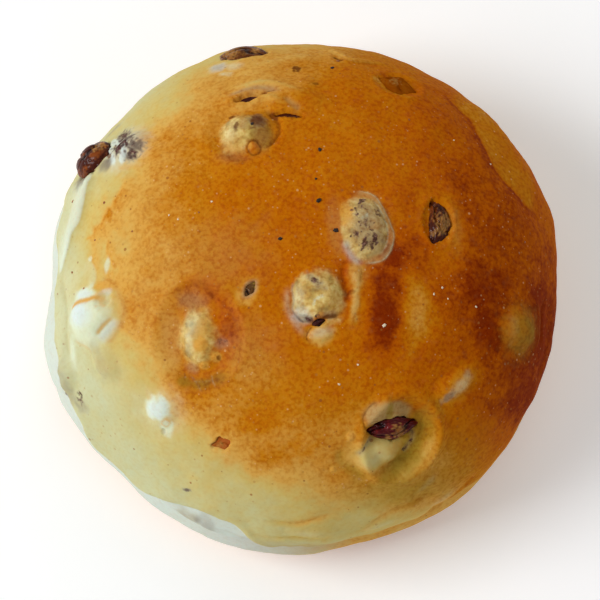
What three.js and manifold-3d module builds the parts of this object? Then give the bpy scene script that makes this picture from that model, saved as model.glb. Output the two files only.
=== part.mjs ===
// A soft raisin bun, baked on a flat tray: one lump of dough with a domed top, a foot that spread on the tray,
// raisins that lift the crust from below, and ten raisins that break through it.
// Millimetres, +Z up. The origin is the middle of the flat base, +X is the browned side, -Y the pale front.
import * as THREE from 'three';
import { mergeVertices } from 'three/addons/utils/BufferGeometryUtils.js';
import Module from 'manifold-3d';

// ---- driving dimensions -------------------------------------------------------------------------------------
const HEIGHT = 52;
const BELLY_HEIGHT = 18; // where the bun is widest
const DOME_POWER = 2.2; // 2 would be an ellipsoid, more is flatter on top and fuller at the shoulder
const FOOT_POWER = 3.6;
const FOOT_SINK = 2.5; // how much of the rounded underside the tray has pressed flat
const HEART = new THREE.Vector3(0, 0, 8); // relief moves the crust straight away from here
// Radii of the outline seen from above, every 15 degrees from +X round by +Y.
const PLAN_RADII = [48.5, 50, 50, 49.5, 49, 49, 49, 50, 49.5, 48.5, 48.5, 48.5, 47.5, 50, 49.5, 48.5, 49, 49.5, 49.5, 48.5, 49, 49, 48.5, 48.5];

const NET_DETAIL = 17; // rows of triangles on each side of the bun's net
const NET_LIFT = 0.3; // crowds the net upwards, where the relief is
const RAISIN_DETAIL = 3;
const POCKET_DETAIL = 2;
const GAP = 0.4; // room between a raisin and the dough around it

// Broad unevenness of the dough: heights in mm, over patches this many degrees wide.
const SWELLS = [
  { azimuth: 60, elevation: 35, spread: 30, height: 0.7 },
  { azimuth: 350, elevation: 30, spread: 24, height: 0.6 },
  { azimuth: 305, elevation: 35, spread: 20, height: 0.5 },
  { azimuth: 250, elevation: 40, spread: 26, height: -0.5 },
  { azimuth: 165, elevation: 55, spread: 22, height: 0.5 },
  { azimuth: 110, elevation: 70, spread: 20, height: -0.4 },
  { azimuth: 100, elevation: 20, spread: 28, height: -0.6 },
];

// The foot: a skirt of paler dough below a crease, which the dome overhangs. It shows most at the front left.
const CREASE = { height: 17, width: 3.4, depth: 0.25 };
const CREASE_DEEPER = [
  { azimuth: 228, spread: 34, depth: 1.5 },
  { azimuth: 278, spread: 22, depth: 0.7 },
  { azimuth: 172, spread: 26, depth: 0.5 },
  { azimuth: 20, spread: 40, depth: 0.3 },
  { azimuth: 112, spread: 18, depth: 0.4 },
];
const LIP = { height: 23, width: 4.5, share: 0.3 }; // the dome's edge bulges by this share of the crease's depth

// Mounds: crust lifted by a raisin below. `half` holds the half axes along and across, in the crust's own plane.
const MOUNDS = [
  { name: 'back', at: [-10, 23.2], half: [5.8, 5.2], turn: 15, height: 1.6 },
  { name: 'middle', at: [3.3, -8.8], half: [5.7, 6.3], turn: 0, height: 1.7 },
  { name: 'right of middle', at: [11.8, 3.6], half: [5.1, 6.7], turn: 10, height: 1.6 },
  { name: 'left of middle', at: [-18.4, -16.6], half: [4.4, 6.4], turn: 4, height: 1.6 },
  { name: 'left white', at: [-38, -9.7], half: [7, 6.2], turn: 0, height: 1.6 },
  { name: 'left low', at: [-35.5, -19], half: [3.2, 4.6], turn: 20, height: 0.9 },
  { name: 'left side', at: [-43.5, -19], half: [3.4, 5], turn: -60, height: 1.1 },
  { name: 'chalky', at: [-25.4, -28], half: [4.2, 3.8], turn: 30, height: 0.9 },
  { name: 'right', at: [40, -11.7], half: [6, 5], turn: 0, height: 1.3 },
  { name: 'front right', at: [28, -23], half: [2.8, 5.6], turn: -45, height: 0.8 },
  { name: 'torn', at: [-31.6, 22.3], half: [5.4, 4.6], turn: 30, height: 1.2 },
  { name: 'top back', at: [-1, 29.5], half: [7.5, 3.6], turn: -5, height: 0.8 },
  { name: 'upper crater', at: [15.6, -29.6], half: [4.6, 3.5], turn: 15, height: 1.4 },
  { name: 'lower crater', at: [14.6, -36], half: [5.2, 3.6], turn: 14, height: 1.9 },
];
const MOUND_FLANK = 0.75; // share of a mound's half axis over which it runs out

// Hollows: a sunk patch, with the rim that the crust makes round it.
const HOLLOWS = [
  { name: 'left ring', at: [-18.3, -16], half: [7.6, 9], turn: 0, depth: 0.6, rim: 0.12 },
  { name: 'crater', at: [18.2, -33.2], half: [6.4, 7.4], turn: 0, depth: 1.7, rim: 0.8 },
  { name: 'pit', at: [25.1, 5.6], half: [2.8, 4.4], turn: 0, depth: 0.6, rim: 0.1 },
  { name: 'back dent', at: [-10, 23.6], half: [6.8, 6.2], turn: 15, depth: 0.4, rim: 0.12 },
  { name: 'diamond dent', at: [18.3, 34.5], half: [4.4, 3.6], turn: 0, depth: 0.5, rim: 0.1 },
];
const HOLLOW_FLANK = 0.45;
const RIM = { distance: 1.16, width: 0.16 }; // in shares of the hollow's half axes

// Folds: grooves (depth above 0) and ridges (below 0) in the crust, through these places in plan.
const FOLDS = [
  { name: 'back right', through: [[30, 30], [34.5, 24], [37.5, 17.5], [42, 12.5], [45.5, 10.5]], width: 3, depth: 0.35 },
  { name: 'beyond back right', through: [[34, 31], [39, 24.5], [43, 17.5]], width: 3.4, depth: -0.8 },
  { name: 'left shoulder', through: [[-39.5, 16.5], [-43, 3.5], [-44.5, -2.5]], width: 2.2, depth: -0.8 },
  { name: 'left flank', through: [[-44.2, 13], [-46.5, 1], [-46.5, -9]], width: 2.6, depth: 0.7 },
  { name: 'right edge', through: [[46.5, -6], [45, -16]], width: 2, depth: 0.7 },
  { name: 'front right', through: [[22.5, -41], [26, -42], [30.5, -39]], width: 1.9, depth: 0.7 },
  { name: 'top back', through: [[-12.5, 30.5], [-8, 32.5], [1, 33]], width: 2, depth: -0.6 },
];

// Raisins that show. `sunk` is how far the middle lies below the crust. `tear` holds the half axes of the tear in
// the skin over a raisin that lies wholly below it; the others break through by themselves.
const RAISINS = [
  { name: 'raisin_left_edge', at: [-38.7, 22.3], half: [4.4, 3.6, 3.2], turn: 30, sunk: 0.5 },
  { name: 'raisin_back_edge', at: [-10.9, 43.2], half: [5.4, 3.4, 3], turn: -4, sunk: 1.8 },
  { name: 'raisin_back_slit', at: [-9.2, 30.4], half: [4.8, 3, 2.4], turn: 14, sunk: 3.2, tear: [3.1, 1] },
  { name: 'raisin_top_slit', at: [-2, 26.6], half: [5, 3, 2.4], turn: -6, sunk: 3.1, tear: [2.7, 0.7] },
  { name: 'raisin_back_right', at: [18.3, 34.7], half: [5.4, 5.2, 2.6], turn: -28, sunk: 2 },
  { name: 'raisin_in_pit', at: [25.1, 5.7], half: [4.9, 2.9, 2.6], turn: 86, sunk: 1.6 },
  { name: 'raisin_in_crater', at: [17, -31.9], half: [5.2, 2.6, 2.7], turn: 14, sunk: 0.9 },
  { name: 'raisin_in_middle', at: [3.4, -14], half: [4.6, 3, 2.5], turn: 22, sunk: 3, tear: [1.3, 0.8] },
  { name: 'raisin_front', at: [-14.3, -34.5], half: [4.4, 3.4, 2.8], turn: 8, sunk: 3, tear: [2.1, 1.3] },
  { name: 'raisin_speck', at: [-9, -7.8], half: [4.2, 3, 2.6], turn: 55, sunk: 3, tear: [1.6, 0.8] },
];
const TEAR_DEPTH = 2; // reaches from the crust into the raisin's pocket
const WRINKLES = { depth: 0.15, pairs: 3, bend: 1.2 };

const CRUST = { color: 0xbb7a26, roughness: 0.55, metalness: 0 };
const RAISIN_SKIN = { color: 0x3b1a14, roughness: 0.35, metalness: 0 };

// ---- the plain form of the bun --------------------------------------------------------------------------------
const RADIANS = Math.PI / 180;

/** Radius of the bun seen from above, by a smooth closed curve through PLAN_RADII. */
function planRadius(azimuth) {
  const count = PLAN_RADII.length;
  const turns = azimuth / (2 * Math.PI);
  const place = (turns - Math.floor(turns)) * count;
  const first = Math.floor(place);
  const t = place - first;
  const [a, b, c, d] = [-1, 0, 1, 2].map((step) => PLAN_RADII[(first + step + count) % count]);
  return b + 0.5 * t * (c - a + t * (2 * a - 5 * b + 4 * c - d + t * (3 * (b - c) + d - a)));
}

/** Point of the plain form that lies in this direction. */
function formPoint(direction) {
  const azimuth = Math.atan2(direction.y, direction.x);
  const level = Math.hypot(direction.x, direction.y);
  const power = direction.z > 0 ? DOME_POWER : FOOT_POWER;
  const scale = (level ** power + Math.abs(direction.z) ** power) ** (-1 / power);
  const radius = level * scale * planRadius(azimuth);
  const reach = direction.z > 0 ? HEIGHT - BELLY_HEIGHT : BELLY_HEIGHT + FOOT_SINK;
  const height = Math.max(0, BELLY_HEIGHT + direction.z * scale * reach);
  return new THREE.Vector3(radius * Math.cos(azimuth), radius * Math.sin(azimuth), height);
}

/** Point of the plain dome above this place in plan. */
function domePoint([x, y]) {
  const share = Math.hypot(x, y) / planRadius(Math.atan2(y, x));
  const rise = (1 - Math.min(1, share) ** DOME_POWER) ** (1 / DOME_POWER);
  return new THREE.Vector3(x, y, BELLY_HEIGHT + rise * (HEIGHT - BELLY_HEIGHT));
}

/** Frame on the crust at a place in plan: its point, and the directions along, across and outwards, turned. */
function crustFrame(at, turn) {
  const step = 0.5;
  const origin = domePoint(at);
  const east = domePoint([at[0] + step, at[1]]).sub(origin);
  const north = domePoint([at[0], at[1] + step]).sub(origin);
  const out = east.clone().cross(north).normalize();
  const level = east.normalize().applyAxisAngle(out, turn * RADIANS);
  return { origin, along: level, across: out.clone().cross(level), out };
}

// ---- relief ---------------------------------------------------------------------------------------------------
const bell = (distance) => Math.exp(-distance * distance);
const smoothStep = (t) => THREE.MathUtils.smoothstep(t, 0, 1);
const degreesApart = (a, b) => Math.abs(((a - b + 540) % 360) - 180);

/** Distance from a patch's middle, with 1 at its edge. */
function patchDistance(point, patch) {
  const offset = point.clone().sub(patch.frame.origin);
  const along = offset.dot(patch.frame.along) / patch.half[0];
  const across = offset.dot(patch.frame.across) / patch.half[1];
  const off = offset.dot(patch.frame.out) / Math.max(...patch.half);
  return Math.hypot(along, across, off);
}

/** Height of a mound: a rounded cap that runs out flat at its edge. */
function moundHeight(point, mound) {
  const distance = patchDistance(point, mound);
  return mound.height * smoothStep((1 - distance) / MOUND_FLANK);
}

/** Height of a hollow, below 0 inside its edge, with a low rim just outside. */
function hollowHeight(point, hollow) {
  const distance = patchDistance(point, hollow);
  const floor = smoothStep((RIM.distance - distance) / HOLLOW_FLANK);
  return hollow.rim * bell((distance - RIM.distance) / RIM.width) - hollow.depth * floor;
}

/** Height of a fold at its distance from the line through its places. */
function foldHeight(point, fold) {
  const nearest = new THREE.Vector3();
  let distance = Infinity;
  for (const line of fold.lines) {
    line.closestPointToPoint(point, true, nearest);
    distance = Math.min(distance, nearest.distanceTo(point));
  }
  return -fold.depth * bell(distance / fold.width);
}

/** Height of the broad swells in this direction. */
function swellHeight(direction) {
  let height = 0;
  for (const swell of SWELLS) {
    const away = direction.angleTo(swell.toward) / RADIANS;
    height += swell.height * bell(away / swell.spread);
  }
  return height;
}

/** How far the crease under the dome draws the side in, and the lip above it lets it out. */
function footHeight(point) {
  const azimuth = Math.atan2(point.y, point.x) / RADIANS + 360;
  let depth = CREASE.depth;
  for (const deeper of CREASE_DEEPER) {
    depth += deeper.depth * bell(degreesApart(azimuth, deeper.azimuth) / deeper.spread);
  }
  const crease = bell((point.z - CREASE.height) / CREASE.width);
  const lip = LIP.share * bell((point.z - LIP.height) / LIP.width);
  return depth * (lip - crease);
}

MOUNDS.forEach((mound) => { mound.frame = crustFrame(mound.at, mound.turn); });
HOLLOWS.forEach((hollow) => { hollow.frame = crustFrame(hollow.at, hollow.turn); });
FOLDS.forEach((fold) => {
  const points = fold.through.map(domePoint);
  fold.lines = points.slice(1).map((point, i) => new THREE.Line3(points[i], point));
});
SWELLS.forEach((swell) => {
  const [azimuth, elevation] = [swell.azimuth * RADIANS, swell.elevation * RADIANS];
  swell.toward = new THREE.Vector3(Math.cos(azimuth), Math.sin(azimuth), Math.tan(elevation)).normalize();
});

/** Point of the finished crust that starts from this point of the plain form. The flat base stays flat. */
function crustPoint(point) {
  const out = point.clone().sub(HEART).normalize();
  let height = swellHeight(out);
  for (const mound of MOUNDS) height += moundHeight(point, mound);
  for (const hollow of HOLLOWS) height += hollowHeight(point, hollow);
  for (const fold of FOLDS) height += foldHeight(point, fold);
  const footing = smoothStep(point.z / 4);
  const moved = point.clone().addScaledVector(out, height * footing);
  const side = new THREE.Vector3(out.x, out.y, 0).normalize();
  moved.addScaledVector(side, footHeight(point) * footing);
  return moved;
}

// ---- solids ---------------------------------------------------------------------------------------------------
const manifold = await Module();
manifold.setup();

/** A closed ball of triangles whose corners are moved by `place`. */
function shapedBall(detail, place) {
  const ball = new THREE.IcosahedronGeometry(1, detail);
  ball.deleteAttribute('normal');
  ball.deleteAttribute('uv');
  const geometry = mergeVertices(ball, 1e-5);
  const corners = geometry.getAttribute('position');
  const corner = new THREE.Vector3();
  for (let i = 0; i < corners.count; i++) {
    corner.fromBufferAttribute(corners, i).normalize();
    corners.setXYZ(i, ...place(corner).toArray());
  }
  return geometry;
}

function toSolid(geometry) {
  return new manifold.Manifold(new manifold.Mesh({
    numProp: 3,
    vertProperties: new Float32Array(geometry.getAttribute('position').array),
    triVerts: new Uint32Array(geometry.getIndex().array),
  }));
}

function toGeometry(solid) {
  const mesh = solid.getMesh();
  const geometry = new THREE.BufferGeometry();
  geometry.setAttribute('position', new THREE.BufferAttribute(new Float32Array(mesh.vertProperties), 3));
  geometry.setIndex(new THREE.BufferAttribute(new Uint32Array(mesh.triVerts), 1));
  return geometry;
}

function doughBall() {
  return shapedBall(NET_DETAIL, (corner) => {
    corner.z += NET_LIFT;
    return crustPoint(formPoint(corner.normalize()));
  });
}

/** A ball on a frame: `half` holds its half axes, and `radius` scales it in each direction. */
function frameBall(detail, frame, half, radius = () => 1) {
  return shapedBall(detail, (corner) => {
    const size = radius(corner);
    return frame.origin.clone()
      .addScaledVector(frame.along, corner.x * half[0] * size)
      .addScaledVector(frame.across, corner.y * half[1] * size)
      .addScaledVector(frame.out, corner.z * half[2] * size);
  });
}

/** Frame on the finished crust, moved in by `depth`. */
function sunkFrame(raisin, depth) {
  const frame = crustFrame(raisin.at, raisin.turn);
  frame.origin = crustPoint(frame.origin).addScaledVector(frame.out, -depth);
  return frame;
}

/** What the dough leaves free for a raisin: its pocket, and the tear in the skin where it has one. */
function raisinRoom(raisin) {
  const room = raisin.half.map((half) => half + GAP);
  const pocket = toSolid(frameBall(POCKET_DETAIL, sunkFrame(raisin, raisin.sunk), room));
  if (!raisin.tear) return pocket;
  return pocket.add(toSolid(frameBall(POCKET_DETAIL, sunkFrame(raisin, 0), [...raisin.tear, TEAR_DEPTH])));
}

/** Wrinkles of a dried grape: wavering folds that run from end to end, no two raisins alike. */
function wrinkles(seed) {
  return (corner) => {
    const around = Math.atan2(corner.z, corner.y);
    const bend = WRINKLES.bend * Math.sin(2 * corner.x + seed);
    const fold = Math.abs(Math.sin(WRINKLES.pairs * around + bend));
    const middle = 1 - corner.x ** 4;
    return 1 - WRINKLES.depth * (1 - fold) * middle;
  };
}

const bun = new THREE.Group();
const dough = RAISINS.reduce((solid, raisin) => solid.subtract(raisinRoom(raisin)), toSolid(doughBall()));
const crust = new THREE.Mesh(toGeometry(dough), new THREE.MeshStandardMaterial(CRUST));
crust.name = 'bun';
bun.add(crust);

RAISINS.forEach((raisin, index) => {
  const frame = sunkFrame(raisin, raisin.sunk);
  const geometry = frameBall(RAISIN_DETAIL, frame, raisin.half, wrinkles(index));
  const mesh = new THREE.Mesh(geometry, new THREE.MeshStandardMaterial(RAISIN_SKIN));
  mesh.name = raisin.name;
  bun.add(mesh);
});

export default bun;
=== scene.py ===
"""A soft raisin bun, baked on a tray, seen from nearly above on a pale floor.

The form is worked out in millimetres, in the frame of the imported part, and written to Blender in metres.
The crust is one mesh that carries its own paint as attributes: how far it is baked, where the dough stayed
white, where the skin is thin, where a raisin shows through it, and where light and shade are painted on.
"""

from __future__ import annotations

import logging
import math
from dataclasses import dataclass, field
from enum import Enum
from typing import Sequence

import bmesh
import bpy
import numpy as np
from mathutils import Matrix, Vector

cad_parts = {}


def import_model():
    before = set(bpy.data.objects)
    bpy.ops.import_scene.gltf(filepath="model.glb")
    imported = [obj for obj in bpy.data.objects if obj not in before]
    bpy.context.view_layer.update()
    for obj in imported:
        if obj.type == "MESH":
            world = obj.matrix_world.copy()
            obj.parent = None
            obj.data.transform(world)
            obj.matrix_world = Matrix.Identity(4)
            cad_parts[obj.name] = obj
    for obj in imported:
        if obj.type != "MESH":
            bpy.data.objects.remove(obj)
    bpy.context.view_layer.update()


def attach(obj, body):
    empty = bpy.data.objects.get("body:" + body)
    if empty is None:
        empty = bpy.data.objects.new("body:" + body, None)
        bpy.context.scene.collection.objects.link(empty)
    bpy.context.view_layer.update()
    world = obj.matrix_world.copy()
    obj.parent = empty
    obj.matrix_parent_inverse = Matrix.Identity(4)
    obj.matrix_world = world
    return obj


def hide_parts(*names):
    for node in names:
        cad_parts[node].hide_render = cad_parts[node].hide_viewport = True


log = logging.getLogger("raisin_bun")

METRES = 0.001  # one millimetre
BODY = "root"
FAR = 1.0e3  # millimetres: stands for "nowhere near"

Plan = tuple[float, float]
Places = tuple[Plan, ...]


# ---- small helpers -------------------------------------------------------------------------------


def smooth_step(t: np.ndarray) -> np.ndarray:
    """Rises from 0 to 1 as t does, with a soft start and end."""
    t = np.clip(t, 0.0, 1.0)
    return t * t * (3.0 - 2.0 * t)


def bell(distance: np.ndarray) -> np.ndarray:
    """1 at distance 0, falling off smoothly on both sides."""
    return np.exp(-distance * distance)


def unit(vectors: np.ndarray) -> np.ndarray:
    """The same vectors with length 1."""
    return vectors / np.linalg.norm(vectors, axis=-1, keepdims=True)


def degrees_apart(a: np.ndarray, b: float) -> np.ndarray:
    """How far two compass directions are apart, from 0 to 180 degrees."""
    return np.abs((a - b + 540.0) % 360.0 - 180.0)


def between(a: np.ndarray, b: np.ndarray, c: np.ndarray, d: np.ndarray, t: np.ndarray) -> np.ndarray:
    """The smooth (Catmull-Rom) curve from b, at t = 0, to c, at t = 1, with a and d as its neighbours."""
    return b + 0.5 * t * (c - a + t * (2 * a - 5 * b + 4 * c - d + t * (3 * (b - c) + d - a)))


def round_table(values: Sequence[float], azimuth: np.ndarray) -> np.ndarray:
    """Smooth value at each azimuth, in radians, of a list that goes once round from +X by +Y."""
    table = np.array(values, float)
    place = (azimuth / (2.0 * math.pi)) % 1.0 * len(table)
    first = np.floor(place).astype(int)
    return between(*(table[(first + step) % len(table)] for step in (-1, 0, 1, 2)), place - first)


def linear(hex_colour: str, alpha: float = 1.0) -> tuple[float, float, float, float]:
    """Turns an sRGB hex colour into the linear colour that shaders read.

    Args:
        hex_colour: Six hex digits, such as "c98a2b".
        alpha: The fourth channel.

    Returns:
        Red, green, blue and alpha.
    """
    parts = [int(hex_colour[i : i + 2], 16) / 255.0 for i in (0, 2, 4)]
    red, green, blue = (p / 12.92 if p <= 0.04045 else ((p + 0.055) / 1.055) ** 2.4 for p in parts)
    return red, green, blue, alpha


@dataclass(frozen=True)
class Ripples:
    """Even random waves through space, the same on every run.

    Attributes:
        size: Millimetres from crest to crest.
        seed: Picks one pattern.
        waves: How many plane waves are added up.
    """

    size: float
    seed: int
    waves: int = 20

    def at(self, points: np.ndarray) -> np.ndarray:
        """Height of the waves at each point, mostly between -1 and 1."""
        rng = np.random.default_rng(self.seed)
        directions = unit(rng.normal(size=(self.waves, 3)))
        pace = rng.uniform(0.7, 1.4, size=(self.waves, 1)) * 2.0 * math.pi / self.size
        phases = rng.uniform(0.0, 2.0 * math.pi, size=self.waves)
        return np.sin(points @ (directions * pace).T + phases).sum(axis=1) / math.sqrt(self.waves)


# ---- the form of the bun -------------------------------------------------------------------------


@dataclass(frozen=True)
class BunForm:
    """The plain form: a full dome on a rounded foot that the tray has pressed flat. All in millimetres."""

    height: float = 52.0
    belly_height: float = 18.0
    dome_power: float = 2.2
    foot_power: float = 3.6
    foot_sink: float = 2.5
    heart: tuple[float, float, float] = (0.0, 0.0, 8.0)
    net_lift: float = 0.3
    plan_radii: tuple[float, ...] = (
        *(48.5, 50, 50, 49.5, 49, 49, 49, 50, 49.5, 48.5, 48.5, 48.5),
        *(47.5, 50, 49.5, 48.5, 49, 49.5, 49.5, 48.5, 49, 49, 48.5, 48.5),
    )

    def plan_radius(self, azimuth: np.ndarray) -> np.ndarray:
        """Radius seen from above, by a smooth closed curve through the plan radii."""
        return round_table(self.plan_radii, azimuth)

    def points(self, directions: np.ndarray) -> np.ndarray:
        """Points of the plain form that lie in these directions."""
        azimuth = np.arctan2(directions[:, 1], directions[:, 0])
        level = np.hypot(directions[:, 0], directions[:, 1])
        up = directions[:, 2]
        power = np.where(up > 0, self.dome_power, self.foot_power)
        scale = (level**power + np.abs(up) ** power) ** (-1.0 / power)
        radius = level * scale * self.plan_radius(azimuth)
        reach = np.where(up > 0, self.height - self.belly_height, self.belly_height + self.foot_sink)
        height = np.maximum(0.0, self.belly_height + up * scale * reach)
        return np.stack([radius * np.cos(azimuth), radius * np.sin(azimuth), height], axis=1)

    def dome_points(self, plan: np.ndarray) -> np.ndarray:
        """Points of the plain dome above these places in plan."""
        share = np.hypot(plan[:, 0], plan[:, 1]) / self.plan_radius(np.arctan2(plan[:, 1], plan[:, 0]))
        rise = (1.0 - np.minimum(1.0, share) ** self.dome_power) ** (1.0 / self.dome_power)
        return np.column_stack([plan, self.belly_height + rise * (self.height - self.belly_height)])

    def side_points(self, places: np.ndarray) -> np.ndarray:
        """Points of the plain form at these azimuths, in degrees, and heights."""
        azimuth, height = np.radians(places[:, 0]), places[:, 1]
        off = height - self.belly_height
        reach = np.where(off > 0, self.height - self.belly_height, self.belly_height + self.foot_sink)
        power = np.where(off > 0, self.dome_power, self.foot_power)
        radius = (1.0 - np.abs(off / reach) ** power) ** (1.0 / power) * self.plan_radius(azimuth)
        return np.column_stack([radius * np.cos(azimuth), radius * np.sin(azimuth), height])

    def outward(self, points: np.ndarray) -> np.ndarray:
        """Directions away from the heart of the bun, in which relief moves the crust."""
        return unit(points - np.array(self.heart))


FORM = BunForm()


@dataclass(frozen=True)
class CrustAxes:
    """A place on the crust with its directions along, across and outwards."""

    origin: np.ndarray
    along: np.ndarray
    across: np.ndarray
    out: np.ndarray

    @classmethod
    def at(cls, place: Plan, turn: float, on_side: bool = False) -> CrustAxes:
        """Axes on the plain form.

        Args:
            place: Where, in plan, or as azimuth and height on the side.
            turn: Degrees from +X, or from level on the side, to the direction along, seen from outside.
            on_side: Whether the place is on the side.

        Returns:
            The axes, with their origin on the plain form.
        """
        step = 0.5
        x, y = place
        places = np.array([(x, y), (x + step, y), (x, y + step)])
        origin, east, north = FORM.side_points(places) if on_side else FORM.dome_points(places)
        out = unit(np.cross(east - origin, north - origin))
        level = unit(east - origin)
        cosine, sine = math.cos(math.radians(turn)), math.sin(math.radians(turn))
        along = cosine * level + sine * np.cross(out, level)
        return cls(origin, along, np.cross(out, along), out)

    def to_world(self, local: np.ndarray) -> np.ndarray:
        """Points given along, across and outwards, in the part's own frame."""
        return self.origin + local @ np.stack([self.along, self.across, self.out])


# ---- patches and lines on the crust --------------------------------------------------------------


@dataclass(frozen=True)
class Patch:
    """An oval patch of the crust.

    Attributes:
        at: Its middle, in plan, or as azimuth and height on the side.
        half: Half axes along and across, in the crust's own plane.
        turn: Degrees from +X to the direction along.
        ragged: How far its edge wanders, as a share of the half axes.
        grain: Millimetres from crest to crest of that wandering.
        on_side: Whether its middle is given on the side.
        power: 2 for an oval, nearer 1 for a diamond.
        bend: How far its middle line bows across.
    """

    at: Plan
    half: Plan
    turn: float = 0.0
    ragged: float = 0.0
    grain: float = 2.0
    on_side: bool = False
    power: float = 2.0
    bend: float = 0.0

    def distance(self, points: np.ndarray) -> np.ndarray:
        """Distance from the middle, with 1 at the edge."""
        axes = CrustAxes.at(self.at, self.turn, self.on_side)
        offset = points - axes.origin
        along = np.abs(offset @ axes.along / self.half[0])
        bow = self.bend * (1.0 - np.minimum(1.0, along**2))
        across = np.abs((offset @ axes.across - bow) / self.half[1])
        off = np.abs(offset @ axes.out / max(self.half))
        distance = (along**self.power + across**self.power + off**self.power) ** (1.0 / self.power)
        if self.ragged:
            near = distance < 3.0
            seed = int(abs(self.at[0] * 37 + self.at[1] * 91))
            distance[near] += self.ragged * Ripples(self.grain, seed).at(points[near])
        return distance

    def near(self, points: np.ndarray, margin: float) -> np.ndarray:
        """Which points lie on the patch or within a margin, in millimetres, of it."""
        return self.distance(points) < 1.0 + margin / min(self.half)


@dataclass(frozen=True)
class Mound(Patch):
    """Crust lifted by a raisin below it: a flat-topped cap."""

    height: float = 1.0
    flank: float = 0.75

    def rise(self, points: np.ndarray) -> np.ndarray:
        """Height of the cap at each point."""
        return self.height * smooth_step((1.0 - self.distance(points)) / self.flank)


@dataclass(frozen=True)
class Hollow(Patch):
    """A sunk patch with a low rim round it."""

    depth: float = 1.0
    rim: float = 0.0
    flank: float = 0.45
    rim_place: float = 1.16
    rim_width: float = 0.16

    def rise(self, points: np.ndarray) -> np.ndarray:
        """Height of the rim, and below 0 in the hollow."""
        distance = self.distance(points)
        floor = smooth_step((self.rim_place - distance) / self.flank)
        return self.rim * bell((distance - self.rim_place) / self.rim_width) - self.depth * floor


@dataclass(frozen=True)
class Fold:
    """A broad groove (depth above 0) or ridge (below 0) along straight lines through some places in plan."""

    through: Places
    width: float
    depth: float

    def distance(self, points: np.ndarray) -> np.ndarray:
        """Millimetres from the line."""
        corners = FORM.dome_points(np.array(self.through, float))
        nearest = np.full(len(points), FAR)
        for start, end in zip(corners, corners[1:]):
            span = end - start
            share = np.clip((points - start) @ span / (span @ span), 0.0, 1.0)
            nearest = np.minimum(nearest, np.linalg.norm(points - start - share[:, None] * span, axis=1))
        return nearest

    def rise(self, points: np.ndarray) -> np.ndarray:
        """Height of the fold at each point."""
        return -self.depth * bell(self.distance(points) / self.width)


@dataclass(frozen=True)
class Swell:
    """Broad unevenness of the dough, in one direction from the heart."""

    azimuth: float
    elevation: float
    spread: float
    height: float

    def rise(self, points: np.ndarray) -> np.ndarray:
        """Height of the swell at each point."""
        azimuth, elevation = math.radians(self.azimuth), math.radians(self.elevation)
        toward = unit(np.array([math.cos(azimuth), math.sin(azimuth), math.tan(elevation)]))
        away = np.degrees(np.arccos(np.clip(FORM.outward(points) @ toward, -1.0, 1.0)))
        return self.height * bell(away / self.spread)


@dataclass(frozen=True)
class Course:
    """A smooth line on the crust through a few places.

    Attributes:
        through: The places, in plan, or as azimuth and height where it runs on the side.
        on_side: Whether the places are on the side.
        taper: Share of its length over which each end fades out.
    """

    through: Places
    on_side: bool = False
    taper: float = 0.25

    def line(self) -> np.ndarray:
        """Closely spaced points of the line."""
        places = np.array(self.through, float)
        corners = FORM.side_points(places) if self.on_side else FORM.dome_points(places)
        ends = np.vstack([2 * corners[0] - corners[1], corners, 2 * corners[-1] - corners[-2]])
        t = np.linspace(0.0, 1.0, 5, endpoint=False)[:, None]
        spans = [between(*four, t) for four in zip(ends, ends[1:], ends[2:], ends[3:])]
        return np.vstack([*spans, corners[-1:]])

    def measure(self, points: np.ndarray, reach: float) -> tuple[np.ndarray, np.ndarray]:
        """Measures points against the line.

        Args:
            points: Points of the plain form.
            reach: How far from the line points still count.

        Returns:
            Distance in millimetres, above 0 to the left of the line as seen from outside and below 0 to the
            right, and how far the line has faded out there, from 0 to 1.
        """
        line = self.line()
        inside = (points > line.min(axis=0) - reach) & (points < line.max(axis=0) + reach)
        near = np.flatnonzero(inside.all(axis=1))
        distance, fade = np.full(len(points), FAR), np.zeros(len(points))
        spans = np.diff(line, axis=0)
        lengths = np.linalg.norm(spans, axis=1)
        offsets = points[near, None] - line[None, :-1]
        share = np.clip((offsets * spans).sum(axis=2) / lengths**2, 0.0, 1.0)
        gaps = offsets - share[..., None] * spans
        gap = np.linalg.norm(gaps, axis=2)
        best = gap.argmin(axis=1)
        rows = np.arange(len(near))
        turned = (np.cross(spans[best], gaps[rows, best]) * FORM.outward(points[near])).sum(axis=1)
        distance[near] = np.where(turned >= 0.0, 1.0, -1.0) * gap[rows, best]
        starts = np.concatenate([[0.0], np.cumsum(lengths)])
        along = (starts[best] + share[rows, best] * lengths[best]) / starts[-1]
        fade[near] = smooth_step(along / self.taper) * smooth_step((1.0 - along) / self.taper)
        return distance, fade

    def near(self, points: np.ndarray, margin: float) -> np.ndarray:
        """Which points lie within a margin of the line."""
        return np.abs(self.measure(points, margin)[0]) < margin


@dataclass(frozen=True)
class Crease:
    """A fine groove, ridge or edge of skin along a line.

    Attributes:
        course: The line.
        width: How far from the line the groove runs out.
        depth: Depth of the groove; below 0 it is a ridge.
        step: How much higher the skin stands to the left of the line.
        reach: How far from the line that step runs out.
    """

    course: Course
    width: float
    depth: float = 0.0
    step: float = 0.0
    reach: float = 2.0

    def rise(self, points: np.ndarray) -> np.ndarray:
        """Height of the crease at each point."""
        distance, fade = self.course.measure(points, 3.0 * max(self.width, self.reach if self.step else 0.0))
        edge = smooth_step(0.5 + 0.5 * distance / self.width)
        raised = self.step * edge * bell(distance / self.reach)
        return fade * (raised - self.depth * bell(distance / self.width))

    def near(self, points: np.ndarray, margin: float) -> np.ndarray:
        """Which points lie within a margin of the line."""
        return self.course.near(points, margin)


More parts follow.
